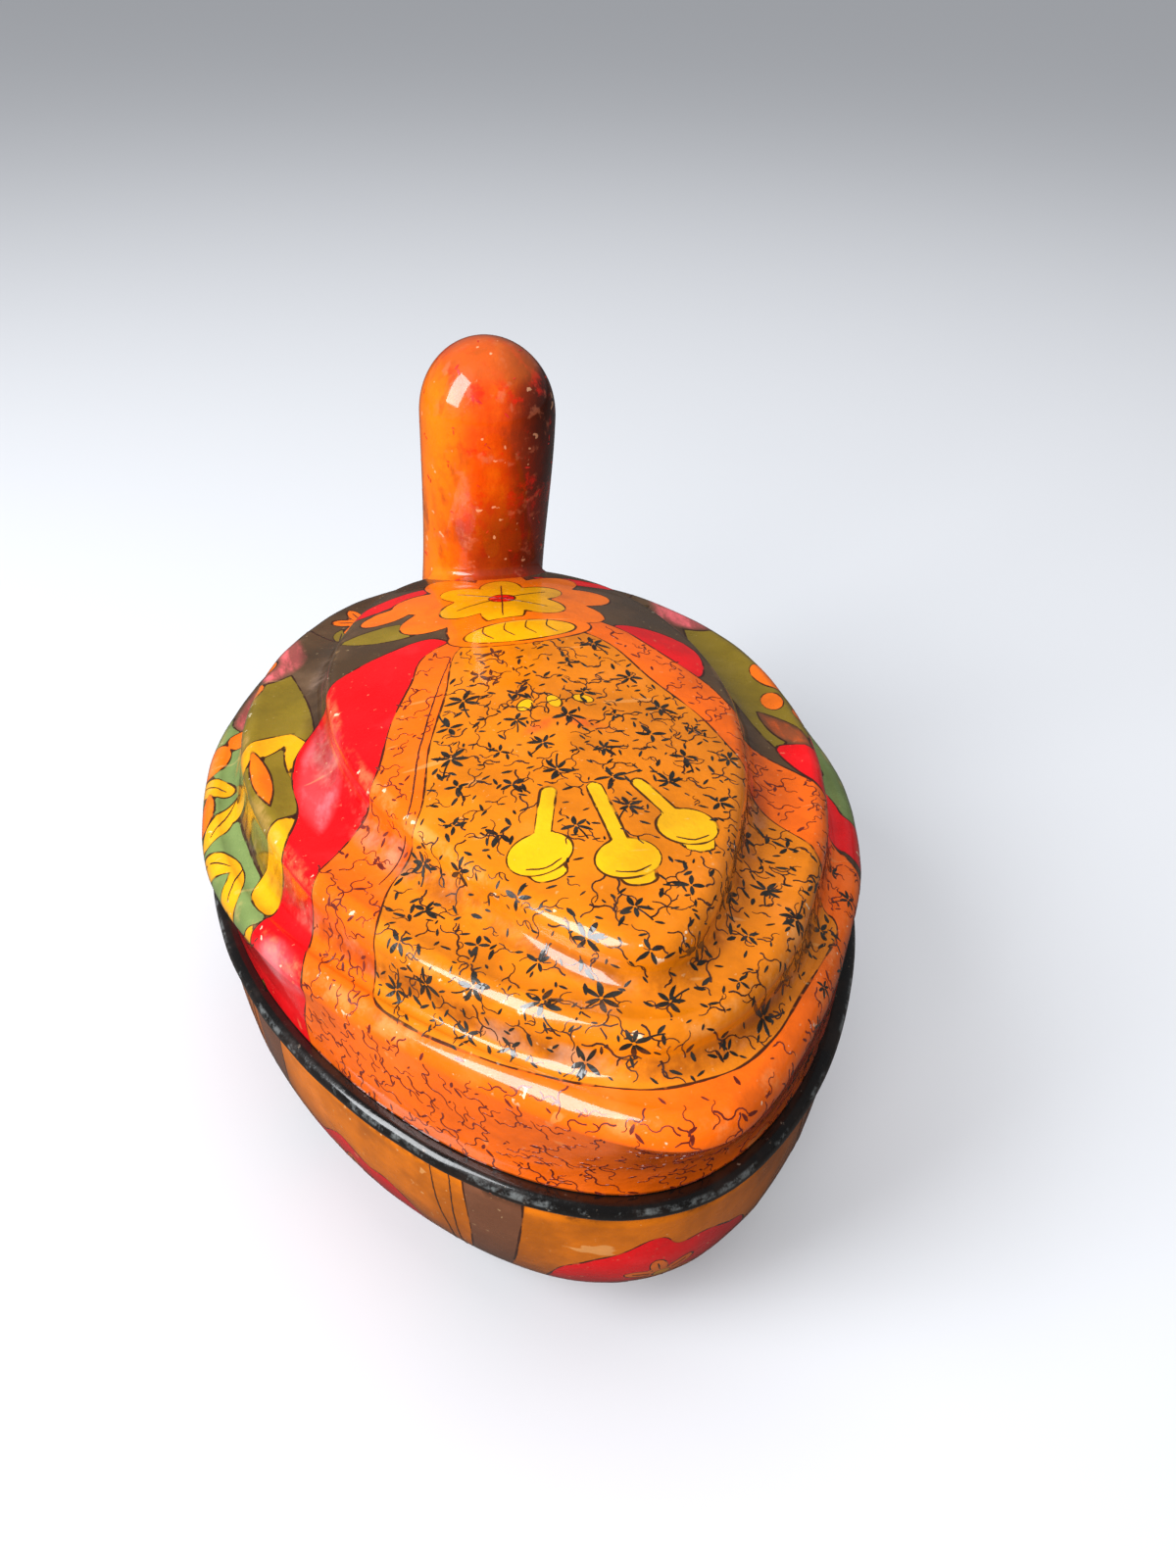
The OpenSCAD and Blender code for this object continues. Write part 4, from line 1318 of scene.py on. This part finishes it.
class Growth:
    """A Geometry Nodes tree that strews strokes of paint over a surface and drapes them on it"""

    INPUTS = (("Surface", "Geometry"), ("Marks", "Collection"), ("Paint", "Material"), ("Mask", "String"),
              ("Margin", "Float"), ("Gap", "Float"), ("Density", "Float"), ("Smallest", "Float"),
              ("Largest", "Float"), ("Turn", "Float"), ("Seed", "Int"))

    def __init__(self):
        self.tree = bpy.data.node_groups.new("Strewn Strokes", "GeometryNodeTree")
        self.sockets = {}
        for name, kind in self.INPUTS:
            item = self.tree.interface.new_socket(name, in_out="INPUT", socket_type="NodeSocket" + kind)
            self.sockets[name] = item.identifier
        self.tree.interface.new_socket("Strokes", in_out="OUTPUT", socket_type="NodeSocketGeometry")
        self.given = self.tree.nodes.new("NodeGroupInput").outputs
        strokes = self.draped(self.strewn(self.points()))
        coated = self.node("GeometryNodeSetMaterial", Geometry=strokes, Material=self.given["Paint"])
        self.tree.links.new(coated[0], self.tree.nodes.new("NodeGroupOutput").inputs[0])

    def points(self):
        """Points on the faces inside the mask, no two nearer than the gap"""
        given = self.given
        mask = self.node("GeometryNodeInputNamedAttribute", Name=given["Mask"])
        margin = self.node("ShaderNodeMath", {"operation": "MULTIPLY"}, _0=given["Margin"], _1=-1.0)
        inside = self.node("FunctionNodeCompare", {"data_type": "FLOAT", "operation": "LESS_THAN"},
                           A=mask[0], B=margin[0])
        patch = self.node("GeometryNodeSeparateGeometry", {"domain": "FACE"}, Geometry=given["Surface"],
                          Selection=inside[0])
        return self.node("GeometryNodeDistributePointsOnFaces", {"distribute_method": "POISSON"},
                         Mesh=patch[0], Distance_Min=given["Gap"], Density_Max=given["Density"],
                         Seed=given["Seed"])

    def drawn(self, low, high):
        """A number drawn by chance"""
        return self.node("FunctionNodeRandomValue", {"data_type": "FLOAT"}, _2=low, _3=high,
                         Seed=self.given["Seed"])[1]

    def strewn(self, points):
        """One of the marks on each point, turned and sized by chance"""
        given = self.given
        marks = self.node("GeometryNodeCollectionInfo", Collection=given["Marks"], Separate_Children=True,
                          Reset_Children=True)
        spin = self.node("ShaderNodeCombineXYZ", Z=self.drawn(0.0, given["Turn"]))
        turn = self.node("FunctionNodeEulerToRotation", _0=spin[0])
        turned = self.node("FunctionNodeRotateRotation", {"rotation_space": "LOCAL"},
                           Rotation=points["Rotation"], Rotate_By=turn[0])
        placed = self.node("GeometryNodeInstanceOnPoints", Points=points["Points"], Instance=marks[0],
                           Pick_Instance=True, Rotation=turned[0],
                           Scale=self.drawn(given["Smallest"], given["Largest"]))
        return self.node("GeometryNodeRealizeInstances", _0=placed[0])[0]

    def nearest(self, field):
        """A field's value where the surface is nearest"""
        value = self.node("GeometryNodeInput" + field)
        return self.node("GeometryNodeSampleNearestSurface", {"data_type": "FLOAT_VECTOR"},
                         Mesh=self.given["Surface"], Value=value[0])[0]

    def draped(self, strokes):
        """The strokes laid on the surface, each point as high as its lift"""
        rise = self.node("GeometryNodeInputNamedAttribute", Name="lift")
        thick = self.node("ShaderNodeVectorMath", {"operation": "SCALE"}, _0=self.nearest("Normal"),
                          Scale=rise[0])
        spot = self.node("ShaderNodeVectorMath", {"operation": "ADD"}, _0=self.nearest("Position"),
                         _1=thick[0])
        return self.node("GeometryNodeSetPosition", Geometry=strokes, Position=spot[0])[0]

    def node(self, kind, settings=None, **sockets):
        """A node with its settings and then its sockets, named with _ for spaces, or numbered as _0. Returns
        its outputs."""
        made = self.tree.nodes.new(kind)
        for key, value in (settings or {}).items():
            setattr(made, key, value)
        for key, value in sockets.items():
            socket = made.inputs[int(key[1:])] if key[0] == "_" else made.inputs[key.replace("_", " ")]
            if isinstance(value, bpy.types.NodeSocket):
                self.tree.links.new(value, socket)
            else:
                socket.default_value = value
        return made.outputs

    def strew(self, surface, name, **values):
        """Bakes the strokes on a surface's mesh"""
        holder = linked(name, surface.data)
        modifier = holder.modifiers.new("Strokes", "NODES")
        modifier.node_group = self.tree
        for key, value in values.items():
            modifier[self.sockets[key]] = value
        mesh = baked(holder, name)
        mesh.materials.clear()
        mesh.materials.append(values["Paint"])
        return mesh


def stroke_mesh(name, strokes):
    """A closed thin stroke for each list of (x, y, half width) in millimetres"""
    points, lifts, faces = [], [], []
    thick = in_sprigs("lift")
    for line in strokes:
        base = len(points)
        for i, (x, y, half) in enumerate(line):
            (ax, ay), (bx, by) = line[max(i - 1, 0)][:2], line[min(i + 1, len(line) - 1)][:2]
            span = math.hypot(bx - ax, by - ay)
            nx, ny = -(by - ay) / span * half, (bx - ax) / span * half
            for side, high in ((1, -thick), (-1, -thick), (-1, thick), (1, thick)):
                points.append((x + side * nx, y + side * ny, high))
                lifts.append(high * MM)
        faces += stroke_faces(base, len(line))
    mesh = bpy.data.meshes.new(name)
    mesh.from_pydata([tuple(c * MM for c in p) for p in points], [], faces)
    mesh.update()
    put_attribute(mesh, "lift", lifts)
    return mesh


def in_sprigs(name):
    """A size of the small marks in millimetres"""
    return getattr(bpy.context.scene.bird_box_sprigs, name) / MM


def mark_set(name, count, strokes_of):
    """A collection of marks to pick from, outside the scene"""
    marks = bpy.data.collections.new(name)
    for n in range(count):
        mesh = stroke_mesh(f"{name}_{n}", strokes_of(n))
        marks.objects.link(bpy.data.objects.new(mesh.name, mesh))
    return marks


def star_strokes(chance, petals):
    """An uneven star flower, each petal a stroke that swells and tapers"""
    reach = in_sprigs("star_size")
    strokes = []
    turn = chance.uniform(0, FULL_TURN)
    for i in range(petals):
        a = turn + FULL_TURN * i / petals + chance.uniform(-0.22, 0.22)
        r = reach * chance.uniform(0.72, 1.12)
        wide = chance.uniform(0.3, 0.44)
        side = chance.uniform(-0.25, 0.25)
        strokes.append([
            (r * s * math.cos(a + side * s), r * s * math.sin(a + side * s), wide * w)
            for s, w in ((0.1, 0.3), (0.35, 0.85), (0.6, 1), (0.82, 0.75), (1, 0.2))])
    if chance.random() < 0.6:
        a = turn + 3.3
        strokes.append([(reach * s * math.cos(a), reach * s * math.sin(a) + 0.3 * s * s, 0.13)
                        for s in (0.2, 0.8, 1.3, 1.7)])
    return strokes


def hairline_strokes(chance, long, count):
    """A thin wandering line that turns back and forth, sometimes with a side stroke"""
    half = in_sprigs("line_w") / 2
    long *= chance.uniform(0.75, 1.25)
    way, turn, x, y = 0.0, chance.choice((-1, 1)) * chance.uniform(0.4, 0.7), -long / 2, 0.0
    line = []
    for i in range(count):
        line.append((x, y, half * (1.1 - 0.7 * i / (count - 1))))
        if i % 4 == 3:
            turn = -turn * chance.uniform(0.7, 1.3)
        way = (way + turn) * 0.86
        x, y = x + long / (count - 1) * math.cos(way), y + long / (count - 1) * math.sin(way)
    strokes = [line]
    if chance.random() < 0.6:
        px, py, wide = line[count // 2]
        a, r = chance.uniform(0.6, 2.4) * chance.choice((-1, 1)), long * chance.uniform(0.18, 0.32)
        strokes.append([
            (px + r * s * math.cos(a + 0.6 * s), py + r * s * math.sin(a + 0.6 * s), half * (1 - 0.4 * s))
            for s in (0, 0.5, 1)])
    return strokes


def dash_strokes(chance):
    """One or two short leaf-like strokes"""
    strokes = []
    for n in range(chance.choice((1, 1, 2))):
        r, wide, a = chance.uniform(0.45, 0.95), chance.uniform(0.15, 0.3), chance.uniform(0, 3)
        strokes.append([(n * 1.2 + r * s * math.cos(a), n * 0.9 + r * s * math.sin(a), wide * w)
                        for s, w in ((-1, 0.25), (-0.4, 1), (0.4, 0.85), (1, 0.3))])
    return strokes


def ink_coat(name, tone):
    """A thin stroke of one paint, lighter where it is thin"""
    finish = Finish(name)
    thin = finish.noise(420, 3, 0.6).ramp(0.35, 0.7)
    colours = finish.mix(thin, tone, [c * 1.6 + 0.012 for c in tone])
    finish.set(base=colours, rough=0.4, coat=1.0, coat_rough=0.08)
    return finish.material


CROWDING = 8


def build_marks():
    """The small strokes: star flowers on the gold panel, hairlines and dashes on the orange border"""
    sizes = bpy.context.scene.bird_box_sprigs
    chance = random.Random(sizes.seed)
    stars = mark_set("star", 7, lambda n: star_strokes(chance, 4 + n % 3))
    vines = mark_set("vine", 8, lambda n: hairline_strokes(chance, 5.5, 11))
    curls = mark_set("curl", 8, lambda n: hairline_strokes(chance, 7.0, 14))
    dashes = mark_set("dash", 5, lambda n: dash_strokes(chance))
    black = ink_coat("sprig_ink", shade("sprig"))
    brown = ink_coat("panel_ink", shade("ink"))
    maroon = ink_coat("vine_ink", shade("vine"))
    red = ink_coat("red_fleck", srgb(186, 24, 8))
    plans = (
        ("star_sprigs", stars, black, "ochre", 2.2, sizes.star_gap, 0.8, 1.15),
        ("panel_hairlines", vines, brown, "ochre", 1.9, sizes.vine_gap, 0.6, 1.1),
        ("panel_dashes", dashes, black, "ochre", 1.0, sizes.dash_gap, 0.7, 1.2),
        ("border_hairlines", curls, maroon, "orange", 2.2, sizes.vine_gap, 0.6, 1.1),
        ("border_dashes", dashes, maroon, "orange", 0.8, sizes.dash_gap * 1.5, 0.6, 1.1),
        ("border_stars", stars, black, "corner", 1.6, sizes.star_gap * 0.9, 0.6, 0.9),
        ("nape_flecks", dashes, red, "nape", 0.0, sizes.dash_gap * 2.2, 0.5, 0.9),
    )
    growth = Growth()
    for name, marks, coat, mask, margin, gap, small, large in plans:
        surface, slot = ("neck", "head_paint") if mask == "nape" else ("lid", "lid_paint")
        mesh = growth.strew(
            bpy.data.objects[surface], name, Marks=marks, Paint=coat, Mask=mask, Margin=margin, Gap=gap,
            Density=CROWDING / gap ** 2, Smallest=small, Largest=large, Turn=FULL_TURN, Seed=sizes.seed)
        place(mesh, "lid")
    for marks in (stars, vines, curls, dashes):
        for mark in list(marks.objects):
            bpy.data.objects.remove(mark)
        bpy.data.collections.remove(marks)


def wood():
    """Turned softwood of the peg, with its grain along it"""
    finish = Finish("peg_wood")
    grain = finish.noise(500, 4, 0.6, stretch=(1, 1, 0.08), bend=1.5)
    finish.set(base=finish.mix(grain.ramp(0.35, 0.65), srgb(196, 158, 106), srgb(146, 104, 60)),
               rough=grain.ramp(0.3, 0.7, 0.55, 0.75))
    finish.bump(grain, 0.3, 0.0003)
    return finish.material


def paper():
    """Pasted paper, blackened with the inside's lacquer"""
    finish = Finish("patch_paper")
    fibre = finish.noise(420, 5, 0.7)
    finish.set(base=finish.mix(fibre.ramp(0.4, 0.65), srgb(30, 22, 17), srgb(74, 56, 40)),
               rough=fibre.ramp(0.3, 0.7, 0.45, 0.7), coat=0.3)
    finish.bump(fibre, 0.5, 0.0004)
    return finish.material


def build_fixings():
    """The peg and its patch keep their packed form and take their finish"""
    for node, make, slot in (("neck_peg", wood, "peg_wood"), ("peg_patch", paper, "patch_paper")):
        piece = frame["nodes"][node]
        piece.data.materials.clear()
        piece.data.materials.append(make())


def lamp(name, place_mm, target_mm, wide, high, watts, tint, seen=True):
    """A soft rectangular lamp, which the lacquer mirrors if it is to be seen"""
    light = bpy.data.lights.new(name, "AREA")
    light.shape = "RECTANGLE"
    light.size, light.size_y = wide * MM, high * MM
    light.energy = watts
    light.color = tint
    piece = linked(name, light)
    piece.visible_glossy = seen
    piece.location = Vector(place_mm) * MM
    piece.rotation_mode = "QUATERNION"
    piece.rotation_quaternion = (Vector(target_mm) - Vector(place_mm)).to_track_quat("-Z", "Y")


FLOOR_REACH = 6
FLOOR_Z = -0.0003
FLOOR_GLOW = 0.16


def lay_floor():
    """A pale floor that throws back less light than the camera sees on it"""
    finish = Finish("floor")
    seen = finish.node("ShaderNodeLightPath", out="Is Camera Ray")
    finish.set(base=finish.mix(seen, srgb(78, 75, 73), srgb(206, 207, 210)), rough=0.9, specular=0.1)
    finish.set(glow=finish.mix(seen, (0.0, 0.0, 0.0), srgb(214, 216, 220)), glow_power=FLOOR_GLOW)
    mesh = bpy.data.meshes.new("floor")
    corners = [(x * FLOOR_REACH, y * FLOOR_REACH, FLOOR_Z) for x, y in ((-1, -1), (1, -1), (1, 1), (-1, 1))]
    mesh.from_pydata(corners, [], [(0, 1, 2, 3)])
    mesh.materials.append(finish.material)
    linked("floor", mesh)


def light_sky(strength):
    """Pale surroundings, which mirror more weakly than they light"""
    world = bpy.data.worlds.new("surroundings")
    world.use_nodes = True
    tree = world.node_tree
    sky = tree.nodes["Background"]
    sky.inputs["Color"].default_value = (0.92, 0.95, 1.0, 1)
    path = tree.nodes.new("ShaderNodeLightPath")
    dim = tree.nodes.new("ShaderNodeMapRange")
    tree.links.new(path.outputs["Is Glossy Ray"], dim.inputs[0])
    dim.inputs[3].default_value = strength
    dim.inputs[4].default_value = strength * 0.3
    tree.links.new(dim.outputs[0], sky.inputs["Strength"])
    bpy.context.scene.world = world


CAMERA_AT = (-41.464, -175.523, 187.472)
CAMERA_RIGHT = (0.96179, -0.27245, 0.02708)
CAMERA_UP = (0.14271, 0.58327, 0.79965)
SENSOR = 36
LENS = 27.04


def stand_camera():
    """The camera that was solved from the photograph"""
    camera = bpy.data.cameras.new("camera")
    camera.sensor_fit = "AUTO"
    camera.sensor_width = SENSOR
    camera.lens = LENS
    camera.clip_start = 0.01
    eye = linked("camera", camera)
    right, up = Vector(CAMERA_RIGHT), Vector(CAMERA_UP)
    back = right.cross(up).normalized()
    turn = Matrix((right, back.cross(right).normalized(), back)).transposed().to_4x4()
    eye.matrix_world = Matrix.Translation(Vector(CAMERA_AT) * MM) @ turn
    bpy.context.scene.camera = eye


def build_stage():
    """The floor, a window at the left, soft lamps behind the tail and overhead, the sky and the camera"""
    scene = bpy.context.scene
    studio = scene.bird_box_studio
    lay_floor()
    lamp("window", (-620, -150, 540), (0, 0, 50), 380, 560, studio.window, (0.94, 0.97, 1.0))
    lamp("low_fill", (-700, -930, 420), (0, 0, 40), 700, 350, studio.low_fill, (1.0, 0.98, 0.95), seen=False)
    lamp("overhead", (160, 120, 900), (0, 0, 40), 900, 900, studio.fill, (0.97, 0.98, 1.0), seen=False)
    light_sky(studio.sky)
    stand_camera()
    scene.view_settings.view_transform = "Standard"
    scene.view_settings.look = "None"


class BirdBoxStep:
    """What the building steps share: each builds its piece, and an error stops the script"""

    bl_options = {"REGISTER", "UNDO"}

    def execute(self, context):
        self.build()
        return {"FINISHED"}


class BIRDBOX_OT_bowl(BirdBoxStep, Operator):
    """Builds the bowl with its painted outside and black inside"""

    bl_idname = "birdbox.bowl"
    bl_label = "Bowl"
    build = staticmethod(build_bowl)


class BIRDBOX_OT_rim(BirdBoxStep, Operator):
    """Builds the black edging on the bowl's mouth"""

    bl_idname = "birdbox.rim"
    bl_label = "Rim"
    build = staticmethod(build_rim)


class BIRDBOX_OT_collar(BirdBoxStep, Operator):
    """Builds the collar that keeps the lid in place"""

    bl_idname = "birdbox.collar"
    bl_label = "Collar"
    build = staticmethod(build_collar)


class BIRDBOX_OT_lid(BirdBoxStep, Operator):
    """Builds the lid's tiered shell and its painted fields"""

    bl_idname = "birdbox.lid"
    bl_label = "Lid"
    build = staticmethod(build_lid)


class BIRDBOX_OT_neck(BirdBoxStep, Operator):
    """Builds the neck, the head and the beak on the lid"""

    bl_idname = "birdbox.neck"
    bl_label = "Neck and Head"
    build = staticmethod(build_neck)


class BIRDBOX_OT_marks(BirdBoxStep, Operator):
    """Strews the small painted strokes over the lid and the neck"""

    bl_idname = "birdbox.marks"
    bl_label = "Painted Strokes"
    build = staticmethod(build_marks)


class BIRDBOX_OT_fixings(BirdBoxStep, Operator):
    """Gives the neck's peg and its patch their finish"""

    bl_idname = "birdbox.fixings"
    bl_label = "Peg and Patch"
    build = staticmethod(build_fixings)


class BIRDBOX_OT_stage(BirdBoxStep, Operator):
    """Sets up the floor, the light and the camera"""

    bl_idname = "birdbox.stage"
    bl_label = "Stage"
    build = staticmethod(build_stage)


STEPS = (BIRDBOX_OT_bowl, BIRDBOX_OT_rim, BIRDBOX_OT_collar, BIRDBOX_OT_lid, BIRDBOX_OT_neck,
         BIRDBOX_OT_marks, BIRDBOX_OT_fixings, BIRDBOX_OT_stage)


GROUPS = {"bird_box_form": BirdBoxForm, "bird_box_paint": BirdBoxPaint, "bird_box_sprigs": BirdBoxSprigs,
          "bird_box_studio": BirdBoxStudio}


class BIRDBOX_PT_panel(Panel):
    """Lists the building steps and their values in the sidebar"""

    bl_label = "Bird Box"
    bl_idname = "BIRDBOX_PT_panel"
    bl_space_type = "VIEW_3D"
    bl_region_type = "UI"
    bl_category = "Bird Box"

    def draw(self, context):
        for kind in STEPS:
            self.layout.operator(kind.bl_idname)
        for key in GROUPS:
            group = getattr(context.scene, key)
            box = self.layout.box()
            for name in group.__annotations__:
                box.prop(group, name)


def register():
    for name, kind in GROUPS.items():
        bpy.utils.register_class(kind)
        setattr(bpy.types.Scene, name, PointerProperty(type=kind))
    for kind in (*STEPS, BIRDBOX_PT_panel):
        bpy.utils.register_class(kind)


def unregister():
    for kind in reversed((*STEPS, BIRDBOX_PT_panel)):
        bpy.utils.unregister_class(kind)
    for name, kind in GROUPS.items():
        delattr(bpy.types.Scene, name)
        bpy.utils.unregister_class(kind)


def main():
    """Builds all pieces in order"""
    register()
    for kind in STEPS:
        group, name = kind.bl_idname.split(".")
        if getattr(getattr(bpy.ops, group), name)() != {"FINISHED"}:
            raise RuntimeError(f"{kind.bl_label} wasn't built")


if __name__ == "__main__":
    main()
